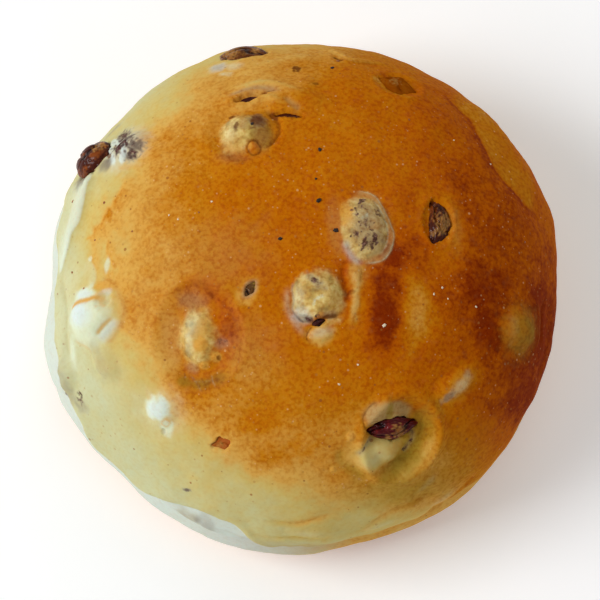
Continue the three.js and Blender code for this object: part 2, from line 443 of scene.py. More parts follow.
@dataclass(frozen=True)
class Foot:
    """The skirt of paler dough that spread on the tray, below the edge of the dome that overhangs it.

    Attributes:
        crease_height: Middle height of the draw-in below the dome's edge; crease_width is its half height.
        crease_depth: Its depth all round; crease_deeper has azimuth, spread in degrees and extra depth.
        lip_height: Height of the dome's bulging edge; lip_width is its half height.
        lip_share: Its height, as a share of the depth.
        edge_heights: Where the baked skin of the dome ends, every 15 degrees from +X round by +Y.
    """

    crease_height: float = 17.0
    crease_width: float = 3.4
    crease_depth: float = 0.25
    crease_deeper: tuple[tuple[float, float, float], ...] = (
        (228.0, 34.0, 1.5),
        (278.0, 22.0, 0.7),
        (172.0, 26.0, 0.5),
        (20.0, 40.0, 0.3),
        (112.0, 18.0, 0.4),
    )
    lip_height: float = 23.0
    lip_width: float = 4.5
    lip_share: float = 0.3
    edge_heights: tuple[float, ...] = (
        *(21, 24, 28, 29, 28, 26, 24, 23, 24, 25, 26, 28),
        *(28.5, 31, 27, 19, 26, 27, 16.5, 16, 17, 17, 18, 19),
    )

    def depth_at(self, points: np.ndarray) -> np.ndarray:
        """Depth of the crease below each point's side of the bun."""
        azimuth = np.degrees(np.arctan2(points[:, 1], points[:, 0]))
        depth = np.full(len(points), self.crease_depth)
        for middle, spread, extra in self.crease_deeper:
            depth += extra * bell(degrees_apart(azimuth, middle) / spread)
        return depth

    def reach(self, points: np.ndarray) -> np.ndarray:
        """How far the side stands out, level with the tray; below 0 in the crease."""
        crease = bell((points[:, 2] - self.crease_height) / self.crease_width)
        lip = self.lip_share * bell((points[:, 2] - self.lip_height) / self.lip_width)
        return self.depth_at(points) * (lip - crease)

    def below_edge(self, points: np.ndarray) -> np.ndarray:
        """Millimetres below the edge of the baked skin, below 0 above it; the edge wavers a little."""
        edge = round_table(self.edge_heights, np.arctan2(points[:, 1], points[:, 0]))
        return edge + 0.7 * Ripples(9.0, 61).at(points) - points[:, 2]

    def pale_side(self, points: np.ndarray) -> np.ndarray:
        """How much each point's side of the foot stayed white, from 0 to 1: all of it from left to front."""
        azimuth = np.degrees(np.arctan2(points[:, 1], points[:, 0]))
        return smooth_step((72.0 - degrees_apart(azimuth, 212.0)) / 30.0)

    def overhang(self, points: np.ndarray) -> np.ndarray:
        """How far the edge of the baked skin stands out over the foot, level with the tray."""
        below = self.below_edge(points)
        strength = 0.3 + 0.7 * self.pale_side(points)
        under = 0.5 * smooth_step(below / 0.7) * bell(below / 6.0)
        return strength * (0.35 * bell((below + 1.2) / 1.4) - under)


# ---- raisins: where they lie ---------------------------------------------------------------------


class Tone(Enum):
    """Colours of a raisin: in its folds, between them, and where light comes through its skin."""

    PURPLE = ("1c0a0a", "3c1614", "5c2e28")
    WINE = ("1e0306", "4c080c", "741c1a")
    RED = ("1c0804", "461808", "84400e")
    AMBER = ("2e1204", "5e2c08", "8e5a1a")
    BROWN = ("7a3602", "904604", "9e540a")
    CHIP = ("a0501a", "b4622a", "c8803c")
    SPOT = ("2a1210", "5e3e1c", "98782e")


@dataclass(frozen=True)
class Raisin:
    """A raisin that shows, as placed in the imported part.

    Attributes:
        node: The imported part's node that it replaces.
        at: Its middle, in plan.
        half: Half axes along, across and outwards.
        turn: Degrees from +X to its length.
        sunk: How far its middle lies below the crust.
        tear: Half axes of the tear in the skin above it, where the skin still covers it.
        seed: Picks its wrinkles.
        tone: Its colours.
        depth: How deep its folds are, as a share of its radius.
        power: Shape of what shows of it: 2 for an oval, nearer 1 for a diamond.
        lip: Height of the lip of skin round it.
        bend: How far it bows across.
        film: Where a film of pale dough sticks to it, in plan, and each film's radius.
    """

    node: str
    at: Plan
    half: tuple[float, float, float]
    turn: float
    sunk: float
    tear: Plan | None
    seed: int
    tone: Tone
    depth: float = 0.16
    power: float = 2.0
    lip: float = 0.1
    bend: float = 0.0
    film: tuple[tuple[float, float, float], ...] = ()

    def footprint(self) -> Plan:
        """Half axes of what shows of it, at the crust."""
        if self.tear:
            return self.tear
        share = math.sqrt(1.0 - (self.sunk / self.half[2]) ** 2)
        return self.half[0] * share, self.half[1] * share

    def seat(self) -> Patch:
        """The oval of crust that it breaks through."""
        return Patch(self.at, self.footprint(), self.turn, 0.12, 2.0, power=self.power, bend=self.bend)

    def seat_rise(self, points: np.ndarray) -> np.ndarray:
        """The crust dips below what shows of the raisin and swells to a lip round it."""
        distance = self.seat().distance(points)
        floor = smooth_step((1.05 - distance) / 0.24)
        return self.lip * bell((distance - 1.3) / 0.24) - 1.6 * floor


RAISINS = (
    Raisin(
        *("raisin_left_edge", (-38.7, 22.3), (4.4, 3.6, 3.2), 30.0, 0.5, None, 11, Tone.RED, 0.13),
        film=((-37.4, 24.4, 0.8), (-38.6, 23.6, 0.5)),
    ),
    Raisin(
        *("raisin_back_edge", (-10.9, 43.2), (5.4, 3.4, 3.0), -4.0, 1.8, None, 12, Tone.AMBER, 0.12),
        film=((-13.6, 42.6, 1.3), (-8.4, 43.0, 0.6)),
    ),
    Raisin(
        *("raisin_back_slit", (-9.2, 30.4), (4.8, 3.0, 2.4), 14.0, 3.2, (3.1, 1.0), 13, Tone.PURPLE),
        power=1.6,
    ),
    Raisin("raisin_top_slit", (-2.0, 26.6), (5.0, 3.0, 2.4), -6.0, 3.1, (2.7, 0.7), 14, Tone.RED, power=1.8),
    Raisin(
        *("raisin_back_right", (18.3, 34.7), (5.4, 5.2, 2.6), -28.0, 2.0, None, 15, Tone.BROWN),
        *(0.03, 1.15, 0.04),
        film=((17.9, 35.4, 0.8),),
    ),
    Raisin(
        *("raisin_in_pit", (24.4, 5.7), (4.9, 2.6, 2.6), 86.0, 1.6, None, 16, Tone.RED, 0.2, 1.8, 0.05, -1.4),
        film=((26.3, 6.0, 1.2), (25.6, 4.4, 0.9), (24.4, 3.4, 0.5)),
    ),
    Raisin(
        *("raisin_in_crater", (17.0, -31.9), (5.2, 2.6, 2.7), 14.0, 0.9, None, 17, Tone.WINE),
        *(0.17, 1.35, 0.04),
        film=((17.9, -32.0, 0.9), (15.8, -33.3, 0.5), (19.3, -32.6, 0.5)),
    ),
    Raisin(
        *("raisin_in_middle", (3.4, -14.0), (4.6, 3.0, 2.5), 22.0, 3.0, (1.3, 0.8), 18, Tone.PURPLE),
        *(0.16, 1.3, 0.03),
    ),
    Raisin(
        *("raisin_front", (-14.3, -34.5), (4.4, 3.4, 2.8), 8.0, 3.0, (2.1, 1.3), 19, Tone.CHIP),
        *(0.04, 1.15, 0.02),
        film=((-14.7, -34.2, 0.6),),
    ),
    Raisin(
        *("raisin_speck", (-9.0, -7.8), (4.2, 3.0, 2.6), 55.0, 3.0, (1.6, 0.8), 20, Tone.SPOT),
        *(0.16, 1.6, 0.04),
    ),
)


# ---- paint and fine relief -----------------------------------------------------------------------


class Paint(Enum):
    """What the crust's attributes say about the skin at a point."""

    BAKE = "bake"  # 0 cream to 1 deep brown
    PALE = "pale"  # white, unbaked dough, and painted highlights on bumps, bulges and streaks
    COOL = "cool"  # painted blue-white of the cool window light on pale dough, and painted highlights
    GOLD = "gold"  # thin golden skin
    OLIVE = "olive"  # green-brown of skin with a raisin close below, and painted shade in grooves
    WINDOW = "window"  # skin stretched thin over a raisin
    TAN = "tan"  # smooth, pale brown skin that lies bare, and broad patches of painted sheen
    GREY = "grey"  # grey of a raisin seen through the dough, and painted shade and shadows
    STAIN = "stain"  # juice stains and dark marks, and painted shade in creases and along edges
    SHOW = "show"  # bits of raisin that break through


@dataclass(frozen=True)
class Dab(Patch):
    """A soft-edged patch of paint. A strength below 0 takes paint away."""

    paint: Paint = Paint.BAKE
    strength: float = 1.0
    edge: float = 0.6

    def amount(self, points: np.ndarray) -> np.ndarray:
        """Paint at each point."""
        return self.strength * smooth_step((1.0 + self.edge / 2 - self.distance(points)) / self.edge)


def dabs(paint: Paint, *rows: tuple) -> tuple[Dab, ...]:
    """Several dabs of one paint.

    Args:
        paint: The paint.
        rows: For each dab its middle, half axes, turn, strength and the width of its edge, and, where they
            aren't 0.1 and 2, how ragged it is and the grain of that.
    """
    return tuple(
        Dab((x, y), (along, across), turn, *(wander or (0.1,)), paint=paint, strength=strength, edge=edge)
        for x, y, along, across, turn, strength, edge, *wander in rows
    )


@dataclass(frozen=True)
class Stroke:
    """Paint along a line, with its own width to the left and to the right of it."""

    course: Course
    paint: Paint
    left: float
    strength: float
    right: float | None = None

    def amount(self, points: np.ndarray) -> np.ndarray:
        """Paint at each point."""
        right = self.left if self.right is None else self.right
        distance, fade = self.course.measure(points, 2.5 * max(self.left, right))
        return self.strength * fade * bell(distance / np.where(distance > 0, self.left, right))

    def near(self, points: np.ndarray, margin: float) -> np.ndarray:
        """Which points lie within a margin of the line."""
        return self.course.near(points, margin)


def strokes(course: Course, *rows: tuple) -> tuple[Stroke, ...]:
    """Strokes along one line, each with its paint, width, strength and, where it differs, right width."""
    return tuple(Stroke(course, *row) for row in rows)


@dataclass(frozen=True)
class Feature:
    """Something that the skin shows, with its own fine relief and paint."""

    relief: tuple[Crease | Mound | Hollow, ...] = ()
    paints: tuple[Dab | Stroke, ...] = ()


def oven_marks_and_sheen() -> Feature:
    """Broad patches where the oven caught the dome more or less, and two tan patches of painted sheen."""
    return Feature(
        paints=(
            *dabs(
                Paint.BAKE, (15.8, -8.1, 3.6, 7.5, 5, 0.2, 1.4, 0.2, 5),
                (14.9, -15.5, 3.2, 5.5, -8, 0.16, 1.4, 0.2, 4), (18.6, -0.6, 3.4, 3.2, 0, 0.1, 1.6, 0.2, 4),
                (34, -6.1, 4.5, 4.5, 0, 0.12, 1.6, 0.2, 4), (34.7, -13.7, 3, 3.4, 0, 0.12, 1.6, 0.2, 4),
                (20.7, -12, 3, 5.4, 4, -0.26, 1.4, 0.2, 3), (37, 0, 17, 34, 0, 0.15, 1.2, 0.1, 6),
                (-7, 30, 14, 7, -8, -0.06, 1.4, 0.1, 6), (16, -42, 12, 4.5, 12, 0.06, 1.4, 0.1, 5),
            ),
            *dabs(Paint.OLIVE, (17, -41.5, 11, 4, 12, 0.34, 1.4, 0.1, 5)),
            # painted sheen: two tan patches where the window light glances off the crust
            *dabs(
                Paint.TAN, (-9.2, -18.6, 5, 5, 0, 0.16, 1.6, 0.2, 3),
                (-14.8, -1.8, 8, 6, 20, 0.16, 1.6, 0.2, 3),
            ),
            Dab((338, 24), (22, 12), 0, 0.1, 6, True, strength=0.22, edge=1.2),
        )
    )


def left_band() -> Feature:
    """The pale ridge down the left side, the groove below it with painted shade, and the wavy lines where the
    browning ends.
    """
    ridge = Course(
        (
            *((-38.4, 19.6), (-39.5, 16.1), (-40.1, 13.4), (-41, 9.3)),
            *((-42.3, 6.8), (-42.9, 4.1), (-44, 1.5), (-45, 0.1)),
        ),
        taper=0.1,
    )
    groove = Course(((-44.3, 1.1), (-43.9, -4.2), (-43.5, -9.1), (-43.3, -13.9), (-42.6, -18.6)))
    wash = Course(
        (
            *((-31.5, 16.5), (-32.3, 13.9), (-33, 12), (-33.7, 11.3)),
            *((-34.1, 10), (-34.8, 9.5), (-35, 8.5)),
            *((-35.8, 8.3), (-36.3, 7.1), (-37.5, 6.4), (-37.9, 5.3), (-39.2, 5.3), (-40.7, 5)),
        )
    )
    lobe = Course(((-39.6, 2.2), (-37.9, -0.2), (-37.3, -2.8), (-38, -4.7), (-39.6, -5.3)))
    second = Course(((-34.5, 4.2), (-35.1, 1.8), (-34.1, -0.9), (-33.6, -2.8)))
    return Feature(
        relief=(
            Crease(ridge, 0.5, step=-0.55, reach=3),
            Crease(groove, 1, depth=0.4),
            Crease(wash, 0.4, step=0.06, reach=1.5),
            Crease(lobe, 0.4, step=-0.12, reach=1.5),
            Crease(second, 0.4, step=0.08, reach=1.5),
        ),
        paints=(
            *dabs(
                Paint.PALE, (-35.2, -0.9, 0.7, 1.5, -10, 0.6, 0.9), (-38.6, 1.2, 0.5, 0.5, 0, 0.5, 0.9),
                (-43.6, -8, 5, 12, 0, 0.35, 1.2), (-35, -22, 6, 8, 0, 0.2, 1.4),
            ),
            *dabs(
                Paint.GOLD, (-36.6, 6.6, 0.7, 0.4, 30, 0.7, 0.9, 0.2, 1),
                (-39, 5.2, 0.8, 0.3, 0, 0.5, 0.9, 0.2, 1),
            ),
            *dabs(
                Paint.BAKE, (-35, 8.7, 0.8, 1.6, 20, 0.1, 1, 0.2, 1),
                (-28.6, -10.4, 4, 8, -6, 0.1, 1.2, 0.15, 3),
            ),
            # painted shade: olive beside the ridge and along the groove; blue-white outside the ridge is
            # painted cool light
            *strokes(
                ridge, (Paint.PALE, 0.15, 0.6, 9), (Paint.COOL, 0.1, 0.3, 5), (Paint.OLIVE, 2.6, 0.3, 0.1),
            ),
            Stroke(groove, Paint.OLIVE, 0.7, 0.3),
            *strokes(wash, (Paint.BAKE, 3, 0.12, 0.5), (Paint.BAKE, 0.5, 0.05)),
            *strokes(lobe, (Paint.PALE, 0.15, 0.3, 2.6), (Paint.BAKE, 2, 0.1, 0.15)),
            Stroke(second, Paint.BAKE, 2.5, 0.12, 0.3),
        ),
    )


def white_bump() -> Feature:
    """A raisin lifts unbaked dough on the left under a painted highlight; tan skin bounds it, and a gold bar
    and a dent mark it.
    """
    arc = Course(
        (
            *((-36.8, -3.2), (-35.7, -3.5), (-34, -5.2), (-32.6, -7.7)),
            *((-32, -10), (-32.6, -12.1), (-34.1, -14.5), (-35.8, -15.6)),
        ),
        taper=0.12,
    )
    left_wall = Course(((-37.1, -14), (-35.8, -12.6), (-34.4, -11.4), (-33.4, -10.9)))
    right_wall = Course(((-36.6, -15), (-35, -13.3), (-33.7, -12), (-33.1, -11)))
    low_edge = Course(((-41.8, -13.4), (-40.3, -14.6), (-38.7, -15.6), (-37.4, -17.4)))
    bar = Course(
        ((-42.2, -7.9), (-41, -7.2), (-39.4, -7), (-37.8, -7.1), (-36.8, -6.9), (-36.2, -7.5)),
        taper=0.12,
    )
    return Feature(
        relief=(
            Crease(arc, 0.7, depth=-0.15, step=-0.2, reach=1.6),
            Crease(left_wall, 0.8, depth=0.35),
            Crease(low_edge, 0.5, depth=0.12, step=0.15, reach=1.2),
            Crease(bar, 0.35, depth=0.15),
            Hollow((-35.3, -7.6), (1.5, 1.7), depth=0.28, rim=0.08),
        ),
        paints=(
            *dabs(
                Paint.PALE, (-38.3, -10, 5.2, 5.2, -10, 0.75, 0.7, 0.04),
                (-39.4, -5.6, 2.4, 1, -11, 0.6, 0.9), (-35.3, -4.9, 2.4, 1.3, -9, -0.6, 0.7),
                (-42, -15.6, 0.9, 2.6, -14, 0.45, 1.4),
            ),
            # painted highlight: the blue-white on top of the bump
            *dabs(
                Paint.COOL, (-39.7, -9.2, 2.9, 2.2, -10, 0.9, 1.3), (-39.4, -5.6, 2.2, 0.8, -11, 0.7, 0.9),
                (-35.2, -6.1, 1.3, 0.6, 0, 0.5, 0.9),
            ),
            *dabs(Paint.BAKE, (-35.3, -4.9, 2.2, 1.1, -9, 0.1, 0.8)),
            *dabs(
                Paint.GOLD, (-35.3, -4.9, 2.2, 1.1, -9, 0.35, 1.2),
                (-35.8, -7.4, 0.8, 1.5, 20, 0.5, 1.4, 0.2, 1.2),
            ),
            *dabs(Paint.OLIVE, (-35.6, -7.6, 1, 1.7, 20, 0.5, 1.3, 0.2, 1.2)),
            *dabs(Paint.GREY, (-37.5, -15.8, 1.6, 1.5, -9, 0.3, 1.2)),
            *strokes(
                arc, (Paint.TAN, 0.5, 0.35, 0.9), (Paint.GOLD, 0.5, 0.22, 0.7), (Paint.BAKE, 2.6, 0.1, 0.1),
            ),
            *strokes(left_wall, (Paint.OLIVE, 0.45, 0.6, 0.5), (Paint.GOLD, 0.45, 0.5, 0.4)),
            # painted shade: grey and blue-grey along the dent's right wall
            *strokes(right_wall, (Paint.GREY, 0.7, 0.28, 0.9), (Paint.COOL, 0.9, 0.5)),
            *strokes(bar, (Paint.GOLD, 0.5, 0.9), (Paint.OLIVE, 0.5, 0.3)),
            Stroke(low_edge, Paint.GOLD, 0.4, 0.3),
        ),
    )


def left_raisin_below() -> Feature:
    """Two raisins just below the skin low on the left, grey through it."""
    line = Course(((-44.5, -17.2), (-44.8, -18.4), (-44.6, -20.1), (-43.9, -21.5), (-42.9, -22.9)))
    return Feature(
        relief=(Crease(line, 0.35, depth=0.3),),
        paints=(
            *dabs(
                Paint.GREY, (-35.8, -19.3, 1.8, 2.8, -16, 0.3, 1, 0.15),
                (-43.4, -20.1, 2.4, 5, -23, 0.4, 0.9, 0.15), (-40.4, -24.5, 1.8, 1.6, -35, 0.4, 1, 0.2),
            ),
            *dabs(Paint.SHOW, (-40.9, -23, 1.2, 1.9, -25, 0.6, 0.8, 0.25, 1)),
            Stroke(line, Paint.SHOW, 0.3, 1),
        ),
    )


def chalk_patch() -> Feature:
    """A white patch with a tail, where the skin stayed floury over a raisin, with a painted blue-white
    highlight.
    """
    ring = Course(
        ((-23.4, -30), (-24.2, -29.3), (-25, -30), (-24.2, -30.7), (-23.4, -30)),
        taper=0.01,
    )
    return Feature(
        relief=(
            Mound((-25.8, -27.4), (2.6, 2.2), -6, height=0.25, flank=0.6),
            Hollow((-25, -31.5), (0.5, 0.8), -27, depth=0.15, rim=0.05),
            Crease(ring, 0.25, depth=-0.06),
        ),
        paints=(
            *dabs(
                Paint.PALE, (-25.4, -28.4, 4.8, 4.6, 0, 0.4, 1.4),
                (-25.8, -27.4, 2.4, 2, -6, 0.6, 0.8, 0.15, 1.8),
                (-24.3, -31, 1.2, 1.8, -16, 0.45, 1, 0.15, 1.4),
            ),
            # painted highlight: blue-white on the patch's top
            *dabs(Paint.COOL, (-25.8, -27.4, 2.1, 1.7, -6, 0.7, 0.9, 0.15, 1.8)),
            *dabs(Paint.GREY, (-25, -31.5, 0.5, 0.8, -27, 0.35, 0.8, 0)),
            Stroke(ring, Paint.GOLD, 0.25, 0.5),
        ),
    )


def front_marks() -> Feature:
    """Small stains low at the front."""
    return Feature(
        paints=(
            *dabs(
                Paint.GREY, (-21, -40.9, 0.9, 0.45, -15, 0.75, 0.8, 0.3, 0.8),
                (-14, -38, 3.6, 3, -30, 0.13, 1.4, 0.15, 3),
            ),
            *dabs(
                Paint.BAKE, (-19.5, -27, 3.4, 1.6, 10, 0.08, 1.4, 0.2, 3),
                (-3, -36.5, 5, 2, 20, 0.12, 1.4, 0.3), (-8, -31, 4, 2, 10, 0.1, 1.4, 0.3),
            ),
        )
    )


def skirt_marks() -> Feature:
    """The pale skirt at the front left: a bright edge line, painted highlight streaks, and grey and olive
    zones.
    """
    fold = Course(((243, 24.5), (248, 23), (254, 20.5), (260, 18.5)), on_side=True)
    crease = Course(((252, 24), (257, 22), (262, 20.5), (268, 20)), on_side=True)
    streaks = (
        ((236, 22.5), (240, 22), (244, 20)),
        ((240, 20), (244, 19), (248, 17)),
        ((255, 20.5), (261, 18.5), (268, 18)),
    )
    return Feature(
        relief=(Crease(fold, 0.8, depth=-0.35), Crease(crease, 0.6, depth=0.35)),
        paints=(
            Dab((264, 16), (13, 7), 0, 0.1, 3, True, paint=Paint.TAN, strength=0.55, edge=1),
            Dab((244.5, 22), (2.6, 3.4), 0, 0.15, 3, True, paint=Paint.OLIVE, strength=0.45, edge=1.2),
            Dab((244.5, 22), (2.6, 3.4), 0, 0.15, 3, True, paint=Paint.GREY, strength=0.3, edge=1.2),
            Dab((249.2, 22.5), (1.9, 6), 0, 0.15, 3, True, paint=Paint.GREY, strength=0.42, edge=1.4),
            Dab((254.5, 21.5), (2.4, 5), 0, 0.15, 3, True, paint=Paint.PALE, strength=0.35, edge=1.2),
            # painted highlights: pale streaks along the skirt
            *(Stroke(Course(places, True), Paint.PALE, 0.5, 0.7) for places in streaks),
            Stroke(crease, Paint.BAKE, 0.6, 0.2),
        ),
    )


def front_wrinkles() -> Feature:
    """Thin creases and bulges where the dome folds over its foot at the front, with painted shade and
    highlight.
    """
    creases = (
        ((259, 30), (264, 30.8), (269, 30.4), (275, 31.6), (280, 31)),
        ((257, 26.2), (263, 25.6), (269, 25.9), (275, 24.6), (281, 24.4)),
        ((262, 21.6), (267, 20.4), (272, 21.8), (277, 20.8)),
        ((281, 21), (285, 24.7), (288, 27), (292, 28.6), (298, 28.6), (303, 30)),
        ((301, 15.4), (304, 20.6), (307, 21.3), (311, 24.1), (315, 25)),
    )
    ridges = (
        ((266, 28), (272, 27.6), (278, 26.9)),
        ((282, 23), (288, 24.4), (294, 25)),
        ((298, 20.8), (303, 24.3), (308, 26.2)),
        ((296, 30.3), (300, 32.2), (305, 34)),
    )
    grooves = [Course(places, on_side=True, taper=0.4) for places in creases]
    bulges = [Course(places, on_side=True, taper=0.4) for places in ridges]
    return Feature(
        relief=(
            *(Crease(course, 0.7, depth=0.32) for course in grooves),
            *(Crease(course, 1.4, depth=-0.3) for course in bulges),
        ),
        paints=(
            # painted shade darkens the creases and painted highlight lightens the bulges
            *(Stroke(course, Paint.STAIN, 0.35, 0.22) for course in grooves),
            *(Stroke(course, Paint.BAKE, 1, 0.12) for course in grooves),
            *(Stroke(course, Paint.PALE, 1.1, 0.25) for course in bulges),
        ),
    )


def crater() -> Feature:
    """The hollow at the front where the skin tore round a raisin, with a lip, a dome and a low mound, and
    painted shade.
    """
    left = Course(
        ((14.3, -26.9), (12.8, -27.9), (11.9, -29), (11.3, -30.3), (11.7, -31.8), (12.8, -32.9)),
        taper=0.15,
    )
    rim = Course(
        (
            *((23.4, -28.9), (24, -30.5), (23.9, -32.4), (23.2, -34.2)),
            *((21.8, -36.2), (19.6, -38.1), (16.9, -39.4)),
        )
    )
    top = Course(((14.4, -26.4), (17.3, -25.9), (20, -25.9), (22.4, -26.5), (23.9, -28.2)))
    inner = Course(((20.8, -28), (21.9, -29.2), (22.5, -30.8), (22.1, -32.6), (21.2, -34.4), (19.8, -36.1)))
    tail = Course(((14, -33.4), (11.9, -34.5), (10.7, -35.4), (9.6, -36.4)))
    strip = Course(((20.3, -31.6), (20.9, -33.2), (20.1, -34.7), (18.9, -35.9)), taper=0.1)
    dip = Course(((7.9, -34.3), (7.2, -36.4), (7.9, -37.8), (9.8, -38.6), (12.6, -39.4)))
    return Feature(
        relief=(
            Crease(left, 0.3, depth=0.22, step=-0.35, reach=1.2),
            Crease(rim, 0.9, depth=-0.3),
            Crease(top, 0.8, depth=0.25),
            Crease(inner, 0.5, depth=0.2),
            Crease(tail, 0.5, depth=0.3),
            Crease(strip, 0.5, depth=0.3),
            Crease(dip, 0.9, depth=0.22),
            Mound((9.1, -33.2), (0.9, 1.2), height=0.3, flank=0.8),
            Mound((6, -38.7), (0.8, 0.8), height=0.2, flank=0.8),
        ),
        paints=(
            *dabs(
                Paint.BAKE, (15, -34, 11.5, 9, 20, -0.04, 1, 0.1, 4),
                (21.7, -31.4, 2.2, 5, -6, 0.16, 1.2, 0.1, 3),
                (14.3, -35.5, 5.4, 2.5, 17, -0.28, 1.3, 0.08, 3),
            ),
            *dabs(
                Paint.OLIVE, (15.6, -33, 8.4, 8.4, 20, 0.22, 1.2, 0.1, 4),
                (24, -38, 12, 8, 35, 0.3, 1.4, 0.1, 5), (16, -28.6, 0.7, 2.2, 10, 0.55, 1.2),
                (21.4, -32.2, 2.4, 6, -12, 0.6, 1.2), (18.6, -37.4, 3.6, 1.2, 40, 0.35, 1.2),
            ),
            *dabs(Paint.TAN, (16, -29.4, 4.6, 2.7, 4, 1, 0.4, 0.03)),
            *dabs(Paint.GREY, (12.9, -29.6, 1, 2.4, -14, 0.16, 1.4)),
            *dabs(
                Paint.PALE, (13.2, -36.3, 3.2, 1.2, 20, 0.24, 1.6, 0.15), (9.1, -33.2, 0.6, 0.9, 0, 0.3, 1),
            ),
            *dabs(
                Paint.GOLD, (15.4, -35.2, 4.4, 2.2, 17, 0.22, 1.6, 0.15),
                (17.8, -34.8, 1.6, 1.4, 20, 0.25, 1.4, 0.15), (9.1, -33.2, 0.9, 1.2, 0, 0.8, 0.8),
                (6, -38.7, 0.8, 0.8, 0, 0.8, 0.8),
            ),
            # painted shade in the crater's creases and along its left edge; lighter along the rim ridge is
            # painted highlight
            Stroke(left, Paint.STAIN, 0.18, 0.5),
            Stroke(rim, Paint.BAKE, 0.5, -0.12),
            Stroke(top, Paint.STAIN, 0.7, 0.22),
            Stroke(inner, Paint.STAIN, 0.5, 0.22),
            *strokes(tail, (Paint.GREY, 0.6, 0.4), (Paint.SHOW, 0.3, 0.5)),
            *strokes(strip, (Paint.SHOW, 0.7, 0.58), (Paint.GREY, 0.8, 0.3)),
            # painted shade along the dip below the low mound
            Stroke(dip, Paint.OLIVE, 1.2, 0.4),
        ),
    )


def papery_window() -> Feature:
    """Right of the middle: skin stretched to paper over a raisin, with a whitish rim on its right and painted
    shade at its lower left.
    """
    outer = Course(
        (
            *((9.4, 10.7), (11.7, 10.6), (13.6, 9.7), (14.9, 7.5), (16.3, 4.6)),
            *((17, 2.3), (16.4, -0.3), (15.3, -2), (13.7, -2.8), (10.7, -3.2)),
        ),
        taper=0.12,
    )
    inner = Course(
        ((12, 9.6), (13.4, 8.5), (14.5, 6.4), (15.6, 3.8), (15.7, 1.5), (14.8, -0.6), (13, -1.6))
    )
    border = Course(((7.9, 1.6), (8.6, -0.6), (9.8, -2.4), (11.6, -3.2)))
    bits = (
        *((11.2, 8.8, 0.9, 0.6, 0.6), (9.8, 6, 0.6, 1.3, 0.5), (11.4, 4, 1.6, 0.7, 0.55)),
        *((13.8, 6.2, 1, 1.1, 0.6), (9.8, 2, 0.8, 0.7, 0.6), (11.9, 0.2, 1.6, 1, 0.65)),
        *((13.2, 1.2, 0.6, 0.9, 0.5), (10.9, 7, 0.9, 1.2, 0.45), (12.2, 2.4, 1.4, 0.8, 0.42)),
    )
    return Feature(
        relief=(
            Crease(outer, 0.35, depth=-0.1, step=-0.2),
            Crease(inner, 0.3, depth=0.15, step=0.12),
            Crease(border, 0.4, depth=-0.12),
        ),
        paints=(
            *dabs(Paint.WINDOW, (11.6, 3.6, 4.2, 6.1, 8, 1, 0.4, 0.03)),
            *dabs(Paint.GREY, (12, 3.4, 3.4, 5.4, 8, 0.38, 1.2, 0.15, 2.4)),
            *dabs(
                Paint.TAN, (12.2, 4.2, 3, 4.6, 8, 0.5, 1.4, 0.15, 1.6), (6.6, 3.4, 1.6, 5.2, 6, 0.22, 1.2),
            ),
            *dabs(Paint.STAIN, (12, 3.6, 3.6, 5.6, 8, 0.2, 1.2, 0.15)),
            *dabs(
                Paint.GOLD, (8.3, 6.2, 1.1, 2.6, 4, 0.75, 1, 0.15, 1.6),
                (13.6, 3.7, 1.3, 1.1, 8, 0.5, 1.2, 0.15, 1.6),
            ),
            *dabs(Paint.PALE, (11.3, 5.2, 0.9, 0.4, 40, 0.5, 1, 0.15, 0.8)),
            *dabs(Paint.SHOW, *((x, y, a, b, 8, c + 0.1, 1.2, 0.3, 0.7) for x, y, a, b, c in bits)),
            *strokes(outer, (Paint.TAN, 0.2, 0.55, 1), (Paint.PALE, 0.12, 0.4, 0.22)),
            *strokes(inner, (Paint.PALE, 0.2, 0.5, 0.12), (Paint.STAIN, 0.12, 0.35, 0.4)),
            # painted shade: grey and blue-grey along the lower-left border
            *strokes(border, (Paint.COOL, 0.6, 0.4), (Paint.GREY, 0.7, 0.35)),
        ),
    )


